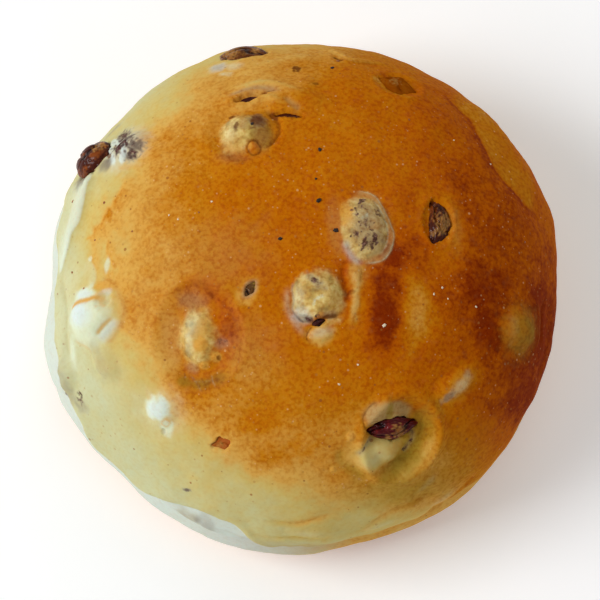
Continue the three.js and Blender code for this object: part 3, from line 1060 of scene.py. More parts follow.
def middle_mound() -> Feature:
    """The mound at the middle: thin skin, a slit with a raisin in it, and a cream lobe below."""
    film = Course(((-2, -6.9), (-2.3, -9), (-2.2, -11.4), (-1.3, -13.5), (0.2, -15.5), (1.4, -16.7)))
    edge = Course(
        ((-1.1, -6.5), (-1.4, -8.1), (-1.1, -10), (-1.3, -11.8), (-0.4, -13.2), (1.1, -14.4)),
        taper=0.1,
    )
    right = Course(((9.3, -2.7), (9.7, -4.7), (10.3, -6.7), (10, -10.2), (9.5, -12.5), (9, -15.5)))
    groove = Course(((8.5, -2), (7.9, -4), (7.7, -6.2), (8.3, -8.4), (8.6, -11.5)))
    slit = Course(
        ((0.6, -12.9), (2.2, -13.9), (3.2, -13.7), (4.5, -13), (5.9, -13), (7.4, -12.6)),
        taper=0.15,
    )
    lobe = Course(((2.6, -14.4), (1.6, -15.5), (1.2, -16.7), (1.8, -17.6)))
    return Feature(
        relief=(
            Crease(film, 0.5, depth=-0.15),
            Crease(edge, 0.4, depth=0.2, step=0.2, reach=1.2),
            Crease(right, 0.8, depth=-0.25),
            Crease(groove, 0.7, depth=0.3),
            Crease(slit, 0.45, depth=0.35),
            Crease(lobe, 0.3, depth=0.3, step=0.25, reach=1.2),
            Mound((3.8, -16), (2.5, 1.8), 13, height=0.45, flank=0.6),
            Mound((10.1, -5), (1.2, 2.2), height=0.25, flank=0.8),
        ),
        paints=(
            *dabs(
                Paint.WINDOW, (0.9, -9.6, 2.4, 4.3, 0, 0.9, 0.5, 0.05),
                (3.9, -8.6, 3.4, 4, 0, 0.85, 0.9, 0.06), (6.5, -10.4, 1.8, 2.4, 0, 0.45, 1.3),
                (5.6, -13.8, 2.2, 0.9, 10, 0.5, 1.3, 0.1, 1.6),
            ),
            *dabs(
                Paint.GOLD, (0.6, -8.6, 1.2, 2, 0, 0.28, 1.5, 0.15),
                (6.4, -10.8, 1.4, 2.2, 0, 0.4, 1.3, 0.15),
            ),
            *dabs(
                Paint.PALE, (-0.2, -9.6, 1, 2.6, 0, 0.4, 1.6, 0.15),
                (3.2, -9.6, 0.9, 0.35, 30, 0.5, 1.2, 0.3, 0.6),
                (2.4, -10.6, 0.5, 0.3, 60, 0.4, 1.2, 0.3, 0.6),
            ),
            *dabs(
                Paint.GREY, (2.5, -6.5, 2.2, 0.8, -38, 0.4, 1.3, 0.2, 1.2),
                (1.2, -13.3, 1.6, 0.8, -20, 0.55, 1.3, 0.15, 1.2),
                (5.2, -12.4, 1.6, 0.7, 10, 0.35, 1.3, 0.15, 1.2), (3.6, -15.4, 1.6, 0.6, 15, 0.25, 1.2),
                (3.4, -7.2, 2.8, 1.6, -20, 0.15, 1.5, 0.15),
            ),
            *dabs(
                Paint.SHOW, (2.5, -6.5, 2.2, 0.6, -38, 0.5, 1.2, 0.3, 0.7),
                (1.6, -13.3, 1.6, 0.7, -22, 0.62, 1.2, 0.3, 0.8),
                (3.2, -12.8, 0.4, 0.8, -10, 0.6, 1.2, 0.3, 0.8),
            ),
            # painted cool light: blue-white here and along the film
            *dabs(
                Paint.COOL, (0.3, -12.8, 1.6, 1.3, 0, 0.5, 1.3, 0.15, 1.6),
                (3.9, -15.7, 2, 0.8, 15, 0.2, 1.2),
            ),
            *dabs(
                Paint.BAKE, (3.8, -16.1, 2.5, 2, 13, -0.36, 1),
                (10.3, -4.8, 1.5, 2.4, 0, -0.24, 1.3, 0.2, 1.6),
                (9.9, -9.8, 0.7, 3.2, 0, -0.2, 1.4, 0.25, 1.2),
            ),
            *dabs(
                Paint.STAIN, (9.3, -8.4, 1.1, 0.45, 36, 0.5, 1.1, 0.25, 0.8),
                (5.6, -12.7, 1.6, 0.5, 12, 0.45, 1.2, 0.2, 1),
            ),
            *dabs(
                Paint.TAN, (10.3, -4.8, 1.5, 2.4, 0, 0.25, 1.3, 0.2, 1.6),
                (9.9, -9.8, 0.7, 3.2, 0, 0.2, 1.3, 0.25, 1.2),
            ),
            *dabs(Paint.OLIVE, (6.6, -8.6, 1.6, 3.8, 0, 0.2, 1.4, 0.15)),
            *strokes(film, (Paint.TAN, 0.7, 0.35), (Paint.COOL, 0.5, 0.14)),
            Stroke(edge, Paint.GREY, 0.3, 0.5),
            *strokes(right, (Paint.BAKE, 0.8, -0.16), (Paint.TAN, 0.5, 0.15)),
            Stroke(groove, Paint.BAKE, 0.9, 0.12),
            Stroke(slit, Paint.STAIN, 0.4, 0.6),
            Stroke(lobe, Paint.STAIN, 0.18, 0.7),
        ),
    )


def spot_halo() -> Feature:
    """A pale ring round the small dark raisin left of the middle."""
    return Feature(
        paints=(
            *dabs(Paint.BAKE, (-9.4, -8.4, 3, 1.9, 55, -0.18, 0.6, 0.06, 1.8)),
            *dabs(Paint.GREY, (-9, -7.8, 2, 1.2, 55, 0.5, 0.8, 0.06, 1.8)),
        )
    )


def ring_mound() -> Feature:
    """Left of the middle: a yellow window in a sunk, dark brown ring, with two small bubbles."""
    arc = Course(((-23.4, -9.6), (-21.6, -7.4), (-18.7, -6.6), (-16.4, -7.6), (-15.4, -9.6), (-15.4, -11.6)))
    rim = Course(
        ((-15, -9.5), (-13.2, -10.8), (-11.6, -13.6), (-10.9, -16.8), (-11.4, -20.2), (-13.6, -23.2))
    )
    low = Course(
        ((-24, -20.6), (-22, -22.8), (-19.5, -24.1), (-16.9, -24.4), (-14.4, -23.7), (-12.2, -22.1))
    )
    veins = (
        ((-20.6, -22.4), (-19.6, -23.4), (-18.6, -24.6), (-17.8, -25.8)),
        ((-16.4, -22.6), (-16, -24), (-15.2, -25.2)),
        ((-19.4, -23.8), (-17.6, -24), (-16, -23.8)),
    )
    return Feature(
        relief=(
            Mound((-15.3, -19.8), (0.9, 0.9), height=0.35, flank=0.8),
            Mound((-17.5, -21.1), (0.8, 0.7), height=0.3, flank=0.8),
            Mound((-17.6, -17.3), (1.1, 1.1), height=0.15, flank=0.9),
            Crease(arc, 0.6, depth=0.2),
            Crease(rim, 0.8, depth=0.15),
            Crease(low, 1, depth=0.2),
        ),
        paints=(
            *dabs(
                Paint.BAKE, (-18, -15.4, 7, 9.2, 0, 0.1, 0.5, 0.05, 4),
                (-13.3, -14.7, 2.2, 4.6, -3, 0.12, 1.3), (-18.7, -16.1, 2.6, 4, -3, -0.3, 1.4, 0.15),
            ),
            *dabs(Paint.TAN, (-23.4, -15.6, 1.8, 5, 0, 0.3, 1.4)),
            *dabs(
                Paint.GREY, (-19.8, -9.6, 2.8, 1.9, -4, 0.3, 1.3),
                (-14.2, -17.3, 1.4, 1.2, 0, 0.35, 1.3, 0.2), (-19.8, -21.4, 1.4, 1.1, 0, 0.35, 1.2, 0.15),
            ),
            *dabs(Paint.STAIN, (-19.8, -9.6, 2.6, 1.8, -4, 0.3, 1.3), (-14.8, -20, 0.4, 0.6, 0, 0.6, 1, 0)),
            *dabs(Paint.WINDOW, (-18.7, -16, 3.3, 4.7, -3, 1, 1.2)),
            *dabs(
                Paint.GOLD, (-18, -16.8, 2.2, 3.6, -3, 0.3, 1.6, 0.15),
                (-17.6, -17.3, 1.2, 1.2, 0, 0.7, 1, 0.1, 1), (-17.2, -14.4, 1.2, 2, 0, 0.35, 1.4, 0.1, 1),
                (-15.3, -19.8, 1, 1, 0, 0.8, 0.6, 0), (-17.5, -21.1, 0.9, 0.8, 0, 0.8, 0.6, 0),
            ),
            *dabs(
                Paint.PALE, (-19.3, -13.8, 1.9, 2.2, -3, 0.4, 1.5, 0.15),
                (-19.6, -17.6, 1, 1.8, -4, 0.35, 1.6, 0.15, 1),
            ),
            *dabs(Paint.SHOW, (-14.2, -17.3, 1.2, 1.1, 0, 0.5, 1.1, 0.3, 0.8)),
            *dabs(
                Paint.OLIVE, (-21.2, -23.8, 1.2, 1, 0, 0.5, 1, 0.15), (-18, -24.4, 1.5, 1, 0, 0.5, 1, 0.15),
                (-14.6, -23.4, 2, 1.2, 20, 0.4, 1.2, 0.15),
            ),
            *(Stroke(Course(places), Paint.PALE, 0.18, 0.3) for places in veins),
            *strokes(arc, (Paint.STAIN, 1.1, 0.34), (Paint.BAKE, 1.4, 0.12)),
            Stroke(rim, Paint.STAIN, 1.2, 0.3),
            *strokes(low, (Paint.STAIN, 1.9, 0.42), (Paint.BAKE, 2.2, 0.14), (Paint.OLIVE, 2, 0.1)),
        ),
    )


def back_mound() -> Feature:
    """Behind the middle: a greenish window with blotches, a bubble at its front and a crease on its right."""
    crease = Course(
        ((-6.6, 28.2), (-5.6, 27), (-4.2, 25.2), (-3.9, 23), (-4.8, 21.1), (-6.4, 19.5)),
        taper=0.15,
    )
    ring = Course(
        ((-7.2, 19.6), (-7.9, 20.6), (-9, 20.6), (-9.7, 19.6), (-8.9, 18.4), (-7.8, 18.4), (-7.2, 19.6)),
        taper=0.01,
    )
    left = Course(((-14.6, 25.6), (-15.6, 22.6), (-14.6, 19.6), (-12, 17.4), (-8.4, 16.4)))
    sheet = Course(((-11.6, 24.6), (-10.2, 25.2), (-8.8, 24.4), (-8.4, 23), (-9.6, 22.4)))
    return Feature(
        relief=(
            Crease(crease, 0.5, depth=0.3, step=0.15),
            Mound((-8.5, 19.5), (1.3, 1.2), height=0.4, flank=0.8),
            Crease(ring, 0.25, depth=0.12),
            Crease(left, 0.8, depth=0.12),
            Crease(sheet, 0.2, depth=0.08),
        ),
        paints=(
            *dabs(
                Paint.WINDOW, (-11.4, 22.8, 3.6, 4.2, -4, 0.85, 0.9, 0.05, 3),
                (-8.5, 19.5, 1.2, 1.1, 0, -0.9, 0.6, 0.05),
            ),
            *dabs(
                Paint.STAIN, (-6.9, 23, 2.4, 4, 5, 0.3, 1.2), (-7.8, 24.9, 1.3, 1.6, 0, 0.55, 1.2, 0.2, 1),
                (-11.5, 23.3, 0.5, 1.1, -4, 0.7, 0.9, 0.2, 1), (-11.6, 17.6, 4, 1.5, -4, 0.3, 1.4, 0.15),
                (-12.7, 26.5, 0.7, 0.4, 0, 0.8, 0.8, 0.2, 0.8),
            ),
            *dabs(
                Paint.GOLD, (-12.6, 19.8, 2.4, 1.4, 0, 0.4, 1.4, 0.15), (-9.2, 19.8, 0.5, 0.9, 0, 0.6, 1.2),
            ),
            *dabs(Paint.PALE, (-12.6, 22.6, 1.8, 3.4, -4, 0.25, 1.4, 0.1, 3)),
            *dabs(
                Paint.OLIVE, (-7.2, 22.6, 2.4, 4.4, 5, 0.6, 0.9, 0.08, 3),
                (-8.5, 19.5, 1.2, 1.1, 0, -0.5, 0.6, 0.05),
            ),
            *dabs(
                Paint.GREY, (-7.2, 22.4, 1.9, 3.8, 5, 0.2, 1.2),
                (-7.8, 24.9, 1.3, 1.6, 0, 0.4, 1.2, 0.2, 1), (-12.2, 17.7, 3.4, 1.4, -4, 0.18, 1.4, 0.15),
            ),
            *dabs(
                Paint.SHOW, (-7.9, 24.8, 0.9, 1.1, 0, 0.5, 1.1, 0.3, 0.8),
                (-11.5, 23.2, 0.4, 0.9, -4, 0.55, 1.1, 0.3, 0.8),
            ),
            *dabs(Paint.TAN, (-9.9, 23.8, 1.3, 1.4, 0, 0.75, 0.7, 0.15, 1.2)),
            *dabs(Paint.BAKE, (-8.2, 19.4, 1.2, 1.3, 0, -0.06, 0.6, 0.05)),
            Stroke(ring, Paint.STAIN, 0.22, 0.6),
            # painted shade in the crease on the right
            Stroke(crease, Paint.STAIN, 0.5, 0.6),
            Stroke(left, Paint.STAIN, 0.6, 0.12),
            Stroke(sheet, Paint.STAIN, 0.15, 0.4),
        ),
    )


def slits() -> Feature:
    """The folded skin round the two slits behind the middle, with painted shade above the slits and a painted
    highlight along the top ridge.
    """
    shade = Course(((-14.5, 30.6), (-11.9, 31.3), (-8.9, 32.2), (-5.9, 32), (-2.4, 30.8)))
    line = Course(((-12.6, 29), (-9.6, 30.3), (-7.8, 30.8), (-5.6, 31.5), (-3.6, 31.4)))
    roll = Course(((-13.6, 27.6), (-11.1, 28.4), (-8.9, 28.9), (-6.5, 30), (-4.6, 29.2), (-3.8, 27.6)))
    groove = Course(((-2.8, 30.4), (-2, 29), (-0.9, 27.9), (0.6, 27.2)))
    lip = Course(((-4.4, 26.4), (-2.2, 26), (0.4, 25.7)))
    top = Course(((-14, 32.2), (-9.3, 33.6), (-6.5, 33.8), (-4.3, 33), (-1, 31.4), (2.2, 30.2)))
    return Feature(
        relief=(
            Crease(line, 0.35, depth=0.3),
            Crease(roll, 0.9, depth=-0.4),
            Crease(groove, 0.7, depth=0.35),
            Crease(top, 0.8, depth=-0.25),
        ),
        paints=(
            *dabs(Paint.STAIN, (-4.6, 26.4, 0.9, 0.5, -20, 0.5, 1, 0.2, 0.8)),
            Stroke(shade, Paint.GREY, 0.9, 0.4),
            Stroke(line, Paint.STAIN, 0.3, 0.6),
            *strokes(roll, (Paint.BAKE, 1, -0.12), (Paint.GOLD, 0.6, 0.3)),
            *strokes(groove, (Paint.GREY, 0.8, 0.25), (Paint.OLIVE, 0.8, 0.35)),
            # painted highlight: lighter along the top ridge
            Stroke(top, Paint.BAKE, 1.1, -0.12),
            Stroke(lip, Paint.STAIN, 0.5, 0.6),
        ),
    )


def torn_skin() -> Feature:
    """At the left, next to the raisin on the edge: two smudges of raisin under torn, whitish skin, and its
    painted shadow.
    """
    smudges = (
        *((-33.2, 26, 1.9, 1.7, -17, 0.75), (-33.6, 22.8, 2.4, 0.8, -15, 0.8)),
        *((-33.2, 21.4, 1, 1, -14, 0.7), (-29.9, 21.7, 1.6, 1.6, -12, 0.6)),
        *((-30.9, 19.8, 1.2, 0.9, -12, 0.55), (-31.4, 23.8, 1.4, 1.2, 30, 0.6)),
    )
    whites = (
        *((-36.1, 23.3, 2.2, 1, -40, 0.9), (-34.6, 24.8, 1.7, 0.9, -17, 0.85)),
        (-32.2, 20.3, 0.7, 1.7, -10, 0.9),
        *((-34.6, 20.4, 0.8, 1.6, 35, 0.8), (-31.9, 22.4, 0.4, 0.8, -20, 0.7)),
    )
    return Feature(
        relief=(
            Hollow((-33.2, 24.6), (1.9, 2), depth=0.25),
            Hollow((-30.4, 20.9), (2, 1.8), depth=0.2),
            Mound((-32.2, 20.3), (0.8, 1.8), -10, height=0.2),
        ),
        paints=(
            # painted cool light: blue-white over the torn skin and at the back edge
            *dabs(
                Paint.COOL, (-32.4, 22.4, 4.4, 4.6, 20, 0.45, 1.2), (-15.6, 39.6, 1.6, 1.5, -16, 0.6, 1.2),
            ),
            # painted shadow: the grey dabs at -36.2, 19.7 and -41.2, 18.4, below the raisin on the edge
            *dabs(
                Paint.GREY, (-32, 22.4, 4, 4, 20, 0.25, 1.2, 0.12),
                (-36.2, 19.7, 1.8, 1.6, 20, 0.6, 1.3, 0.15), (-41.2, 18.4, 2.4, 2.4, 0, 0.6, 1.3, 0.15),
                (-35.6, 29, 1.2, 3, -35, 0.4, 1.3, 0.15), (-25.4, 32.8, 1.1, 1.1, 0, 0.15, 1.4, 0.2),
                (-15.6, 39.6, 1.6, 1.5, -16, 0.4, 1.2),
            ),
            *dabs(Paint.STAIN, (-35.5, 21.7, 1, 0.7, -40, 0.8, 0.8, 0.25, 1)),
            *dabs(Paint.GOLD, (-31.9, 17.9, 2.4, 1, -12, 0.4, 1.3, 0.15, 1.2)),
            *dabs(Paint.PALE, (-12.4, 39.3, 1.9, 1.3, -12, 0.4, 1.2)),
            *(
                Dab((x, y), (a, b), turn, 0.4, 0.8, paint=Paint.GREY, strength=strength * 0.9, edge=1.4)
                for x, y, a, b, turn, strength in smudges
            ),
            *(
                Dab((x, y), (a, b), turn, 0.4, 0.6, paint=Paint.SHOW, strength=strength * 0.8, edge=1.4)
                for x, y, a, b, turn, strength in smudges
            ),
            *(
                Dab((x, y), (a, b), turn, 0.15, 1.2, paint=paint, strength=strength * share, edge=1)
                for x, y, a, b, turn, strength in whites
                for paint, share in ((Paint.PALE, 1), (Paint.COOL, 0.5))
            ),
        ),
    )


def top_folds() -> Feature:
    """Pale bands, a lobe and a dark slit along the back edge of the dome."""
    band = Course(((-8.6, 38.4), (-4.7, 39.7), (-0.8, 41), (3.4, 41.8)))
    edge = Course(
        (
            *((3.4, 43.6), (5.7, 42.7), (7.6, 41.1), (8.7, 40)),
            *((10.5, 39.6), (13.2, 39.7), (15.3, 39.6), (17.4, 39.2)),
        )
    )
    slit = Course(((6.2, 41.4), (7.2, 40.6), (8.1, 39.8)))
    lens = Course(((-15.7, 37.4), (-14.1, 37.5), (-12.5, 36.9)))
    return Feature(
        relief=(
            *(Crease(band, 1.2, depth=-0.25), Crease(edge, 0.5, step=0.4, reach=2.5)),
            Crease(slit, 0.35, depth=0.4),
        ),
        paints=(
            *dabs(
                Paint.STAIN, (-0.8, 37.5, 0.7, 1.1, 0, 0.9, 0.6, 0.3, 0.8),
                (0.7, 37.8, 0.9, 0.7, 0, 0.35, 0.8, 0.3, 0.8),
                (2.9, 33.3, 0.7, 0.4, 30, 0.6, 0.6, 0.3, 0.8),
            ),
            *dabs(
                Paint.BAKE, (14.4, 35.3, 1.2, 0.9, 0, -0.2, 1.4, 0.2),
                (17.9, 32.4, 3, 1, -35, -0.12, 1.4, 0.2),
            ),
            Stroke(band, Paint.BAKE, 1.5, -0.1),
            *strokes(edge, (Paint.BAKE, 1.5, -0.12, 0.3), (Paint.STAIN, 0.15, 0.35, 0.5)),
            Stroke(slit, Paint.STAIN, 0.3, 0.9),
            Stroke(lens, Paint.PALE, 0.6, 0.5),
        ),
    )


def pit_halo() -> Feature:
    """Thin golden skin round the raisin in the pit."""
    return Feature(
        paints=(
            *dabs(Paint.BAKE, (26, 5.4, 4.4, 6.4, 6, -0.16, 1.4)),
            *dabs(Paint.GOLD, (28, 4.8, 1.8, 4.8, 6, 0.3, 1.6)),
        )
    )


def right_bump() -> Feature:
    """A raisin lifts paler skin near the right edge, with a painted highlight down it."""
    line = Course(((43.2, -5.4), (44.1, -7.8), (44.3, -10), (43.9, -11.9), (43.1, -14.2)))
    groove = Course(((45.9, -3.3), (45.2, -5.1), (44.7, -6.6), (44.5, -9), (44.5, -11.2), (43.9, -13.8)))
    return Feature(
        relief=(Crease(line, 0.4, depth=-0.15), Crease(groove, 0.7, depth=0.35)),
        paints=(
            *dabs(Paint.OLIVE, (40.2, -12, 5, 4.8, 10, 0.6, 1.3, 0.08)),
            *dabs(Paint.BAKE, (38.4, -11.9, 2.4, 3.4, 10, -0.12, 1.6)),
            # painted highlight: the pale streak down the bump
            *dabs(Paint.PALE, (38.2, -11.7, 1, 2.6, 10, 0.18, 2, 0.1, 1.8)),
            *dabs(
                Paint.STAIN, (42.4, -10.2, 1.4, 0.9, 12, 0.35, 1.3, 0.2, 1.2),
                (42, -7.3, 1.8, 0.9, 12, 0.35, 1.3, 0.2, 1.2),
            ),
            Stroke(line, Paint.GOLD, 0.25, 0.3),
            Stroke(groove, Paint.STAIN, 0.3, 0.3, 0.5),
        ),
    )


def grey_bump() -> Feature:
    """A small cream bump at the front right with a raisin's grey streak."""
    return Feature(
        paints=(
            *dabs(Paint.BAKE, (28.4, -23.4, 4.4, 2.2, 50, -0.3, 1.4)),
            *dabs(Paint.PALE, (28.7, -23.2, 2.6, 1.2, 50, 0.35, 1.4, 0.12, 1.8)),
            *dabs(
                Paint.GREY, (26.4, -25.3, 1.8, 0.7, 51, 0.55, 1.1, 0.15, 1.2),
                (29.7, -21.1, 0.9, 0.7, 49, 0.35, 1.2, 0.15, 1.2),
            ),
        )
    )


def right_fold() -> Feature:
    """The groove across the back right; the skin beyond it is paler."""
    groove = Course(
        (
            *((26.4, 33.9), (29.9, 30.9), (32, 28.9), (33.3, 25.9), (34.7, 22.4)),
            *((35.9, 19.3), (37.6, 17.1), (39.5, 15.1), (42, 12.7), (45.1, 11.4)),
        ),
        taper=0.15,
    )
    return Feature(
        relief=(Crease(groove, 0.9, depth=0.1, step=0.1, reach=3),),
        paints=(
            *strokes(groove, (Paint.BAKE, 0.3, 0.08, 1.5), (Paint.BAKE, 9, -0.22, 0.2)),
        ),
    )


FEATURES = (
    oven_marks_and_sheen(),
    left_band(),
    white_bump(),
    left_raisin_below(),
    chalk_patch(),
    front_marks(),
    skirt_marks(),
    front_wrinkles(),
    crater(),
    papery_window(),
    middle_mound(),
    spot_halo(),
    ring_mound(),
    back_mound(),
    slits(),
    torn_skin(),
    top_folds(),
    pit_halo(),
    right_bump(),
    grey_bump(),
    right_fold(),
)


# ---- the crust -----------------------------------------------------------------------------------


@dataclass
class Crust:
    """The dough and its crust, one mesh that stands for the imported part's bun.

    The net of the mesh is cut finer in two steps, and each field whose name starts with cut has a value for
    the first and one for the second.

    Attributes:
        bake_middle: The most baked place, in plan.
        brown_reach: How far deep brown reaches from there, all round; gold and cream go on from it.
        cut_round_raisins: How far round a raisin, as a share of what shows of it.
        cut_from_depth: Least depth and step, added up, of a crease that counts.
        cut_beside_creases: How far beyond a crease's width; cut_beside_edge is for the dome's edge.
        cut_small_relief: Half axis below which a patch of relief counts; cut_small_paint is for paint.
    """

    foot: Foot = field(default_factory=Foot)
    swells: tuple[Swell, ...] = (
        Swell(60, 35, 30, 0.7),
        Swell(350, 30, 24, 0.6),
        Swell(305, 35, 20, 0.5),
        Swell(250, 40, 26, -0.5),
        Swell(165, 55, 22, 0.5),
        Swell(110, 70, 20, -0.4),
        Swell(100, 20, 28, -0.6),
    )
    mounds: tuple[Mound, ...] = (
        Mound((-10, 23.2), (5.8, 5.2), 15, height=1.6),
        Mound((3.3, -8.8), (5.7, 6.3), 0, height=1.7),
        Mound((11.8, 3.6), (5.1, 6.7), 10, height=1.6),
        Mound((-18.4, -16.6), (4.4, 6.4), 4, height=1.6),
        Mound((-38, -9.7), (7, 6.2), 0, height=1.6),
        Mound((-35.5, -19), (3.2, 4.6), 20, height=0.9),
        Mound((-43.5, -19), (3.4, 5), -60, height=1.1),
        Mound((-25.4, -28), (4.2, 3.8), 30, height=0.9),
        Mound((40, -11.7), (6, 5), 0, height=1.3),
        Mound((28, -23), (2.8, 5.6), -45, height=0.8),
        Mound((-31.6, 22.3), (5.4, 4.6), 30, height=1.2),
        Mound((-1, 29.5), (7.5, 3.6), -5, height=0.8),
        Mound((15.6, -29.6), (4.6, 3.5), 15, height=1.4),
        Mound((14.6, -36), (5.2, 3.6), 14, height=1.9),
    )
    hollows: tuple[Hollow, ...] = (
        Hollow((-18.3, -16), (7.6, 9), 0, depth=0.6, rim=0.12),
        Hollow((18.2, -33.2), (6.4, 7.4), 0, depth=1.7, rim=0.8),
        Hollow((25.1, 5.6), (2.8, 4.4), 0, depth=0.6, rim=0.1),
        Hollow((-10, 23.6), (6.8, 6.2), 15, depth=0.4, rim=0.12),
        Hollow((18.3, 34.5), (4.4, 3.6), 0, depth=0.5, rim=0.1),
    )
    folds: tuple[Fold, ...] = (
        Fold(((30, 30), (34.5, 24), (37.5, 17.5), (42, 12.5), (45.5, 10.5)), 3.0, 0.35),
        Fold(((34, 31), (39, 24.5), (43, 17.5)), 3.4, -0.8),
        Fold(((-39.5, 16.5), (-43, 3.5), (-44.5, -2.5)), 2.2, -0.8),
        Fold(((-44.2, 13), (-46.5, 1), (-46.5, -9)), 2.6, 0.7),
        Fold(((46.5, -6), (45, -16)), 2.0, 0.7),
        Fold(((22.5, -41), (26, -42), (30.5, -39)), 1.9, 0.7),
        Fold(((-12.5, 30.5), (-8, 32.5), (1, 33)), 2.0, -0.6),
    )
    bake_middle: Plan = (8.0, 8.0)
    brown_reach: tuple[float, ...] = (
        *(60, 60, 55, 46, 32, 25, 22, 22, 21.5),
        *(21, 21.5, 22, 27, 33, 34, 38, 48, 58),
    )
    gold_reach: tuple[float, ...] = (70, 70, 68, 58, 41, 33, 32, 35, 37, 35, 36, 41, 45, 46, 47, 50, 60, 70)
    cream_reach: tuple[float, ...] = (80, 80, 78, 68, 52, 48, 46, 43, 43, 46, 46, 49, 52, 54, 55, 58, 68, 80)
    cut_round_raisins: Plan = (2.0, 1.25)
    cut_from_depth: Plan = (0.0, 0.3)
    cut_beside_creases: Plan = (0.9, 0.0)
    cut_small_relief: Plan = (4.0, 1.4)
    cut_small_paint: Plan = (2.4, 0.8)
    cut_beside_edge: Plan = (1.5, 0.4)

    def packed_rise(self, points: np.ndarray) -> np.ndarray:
        """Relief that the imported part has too."""
        return sum(item.rise(points) for item in (*self.swells, *self.mounds, *self.hollows, *self.folds))

    def fine_rise(self, points: np.ndarray) -> np.ndarray:
        """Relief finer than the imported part's: seats of the raisins, creases and the skin's unevenness."""
        rise = 0.10 * Ripples(11.0, 1).at(points) + 0.05 * Ripples(4.0, 2).at(points)
        rise += 0.018 * Ripples(1.5, 3).at(points)
        rise += sum(raisin.seat_rise(points) for raisin in RAISINS)
        return rise + sum(item.rise(points) for feature in FEATURES for item in feature.relief)

    def moved(self, points: np.ndarray, rise: np.ndarray, edge: np.ndarray | float = 0.0) -> np.ndarray:
        """Moves points of the plain form out by their relief; the flat base stays flat.

        Args:
            points: Points of the plain form.
            rise: How far they move away from the heart.
            edge: How far they move out level with the tray, besides the foot's own crease.

        Returns:
            The moved points.
        """
        out = FORM.outward(points)
        footing = smooth_step(points[:, 2] / 4.0)[:, None]
        level = out * np.array([1.0, 1.0, 0.0])
        side = level / np.maximum(1e-6, np.linalg.norm(level, axis=1, keepdims=True))
        return points + footing * (out * rise[:, None] + side * (self.foot.reach(points) + edge)[:, None])

    def packed_points(self, points: np.ndarray) -> np.ndarray:
        """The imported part's crust over these points of the plain form."""
        return self.moved(points, self.packed_rise(points))

    def points(self, plain: np.ndarray) -> np.ndarray:
        """The finished crust over these points of the plain form."""
        rise = self.packed_rise(plain) + self.fine_rise(plain)
        return self.moved(plain, rise, self.foot.overhang(plain))

    def raisin_axes(self, raisin: Raisin) -> CrustAxes:
        """A raisin's own axes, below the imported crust."""
        axes = CrustAxes.at(raisin.at, raisin.turn)
        surface = self.packed_points(axes.origin[None, :])[0]
        return CrustAxes(surface - raisin.sunk * axes.out, axes.along, axes.across, axes.out)

    def bake_level(self, points: np.ndarray) -> np.ndarray:
        """How far the crust is baked, before local patches."""
        offset = points[:, :2] - np.array(self.bake_middle)
        azimuth = np.arctan2(offset[:, 1], offset[:, 0])
        away = np.hypot(offset[:, 0], offset[:, 1]) + 1.2 * Ripples(14.0, 62).at(points)
        brown, gold, cream = (
            round_table(reach, azimuth) for reach in (self.brown_reach, self.gold_reach, self.cream_reach)
        )
        dome = 0.78 - 0.06 * np.clip(away / brown, 0.0, 1.0)
        dome -= 0.22 * np.clip((away - brown) / (gold - brown), 0.0, 1.0)
        dome -= 0.25 * np.clip((away - gold) / (cream - gold), 0.0, 1.0)
        dome -= 0.2 * np.clip((away - cream) / 8.0, 0.0, 1.0)
        below = self.foot.below_edge(points)
        pale_side = self.foot.pale_side(points)
        foot = 0.4 - 0.32 * pale_side
        bake = dome + (foot - dome) * smooth_step(below / 1.5 + 0.5)
        return bake + (0.68 - bake) * smooth_step((9.0 - points[:, 2]) / 8.0)

    def paint_levels(self, points: np.ndarray) -> dict[Paint, np.ndarray]:
        """The amount of each paint at each point."""
        levels = {paint: np.zeros(len(points)) for paint in Paint}
        levels[Paint.BAKE] = self.bake_level(points)
        below = smooth_step(self.foot.below_edge(points) / 1.0 + 0.2)
        above_tray = smooth_step((points[:, 2] - 5.0) / 7.0)
        # The skirt's blue-white from left to front is painted cool window light on its pale dough.
        levels[Paint.COOL] = 0.75 * below * above_tray * self.foot.pale_side(points)
        for item in (paint for feature in FEATURES for paint in feature.paints):
            levels[item.paint] += item.amount(points)
        return {paint: np.clip(level, 0.0, 1.0) for paint, level in levels.items()}

    def needs_finer(self, points: np.ndarray, step: int) -> np.ndarray:
        """Which points lie where the net is cut finer, at the first or the second step."""
        wanted = np.zeros(len(points), bool)
        for raisin in RAISINS:
            wanted |= raisin.seat().distance(points) < self.cut_round_raisins[step]
        for item in (item for feature in FEATURES for item in feature.relief):
            if isinstance(item, Crease):
                if abs(item.depth) + abs(item.step) >= self.cut_from_depth[step]:
                    wanted |= item.near(points, item.width + self.cut_beside_creases[step])
            elif min(item.half) < self.cut_small_relief[step]:
                wanted |= item.near(points, (1.0, 0.3)[step])
        for item in (item for feature in FEATURES for item in feature.paints):
            if isinstance(item, Patch) and min(item.half) < self.cut_small_paint[step]:
                wanted |= item.near(points, (1.0, 0.2)[step])
        if step == 0:
            for patch in (*self.mounds, *self.hollows):
                wanted |= patch.distance(points) < 1.0
            for fold in self.folds:
                wanted |= fold.distance(points) < fold.width
        edge = np.abs(self.foot.below_edge(points)) < self.cut_beside_edge[step]
        return wanted | (edge & (self.foot.pale_side(points) > 0.3))

    def net(self) -> bmesh.types.BMesh:
        """A ball of triangles, finer where the crust has small relief."""
        net = bmesh.new()
        bmesh.ops.create_icosphere(net, subdivisions=7, radius=1.0)
        for step in range(2):
            points = FORM.points(self.directions(np.array([v.co for v in net.verts])))
            finer = self.needs_finer(points, step)
            net.verts.index_update()
            edges = [e for e in net.edges if finer[e.verts[0].index] and finer[e.verts[1].index]]
            bmesh.ops.subdivide_edges(net, edges=edges, cuts=1, use_grid_fill=True)
            bmesh.ops.triangulate(net, faces=[f for f in net.faces if len(f.verts) > 3])
        return net

    @staticmethod
    def directions(corners: np.ndarray) -> np.ndarray:
        """Directions of the net's corners, crowded upwards where the relief is."""
        return unit(unit(corners) + np.array([0.0, 0.0, FORM.net_lift]))

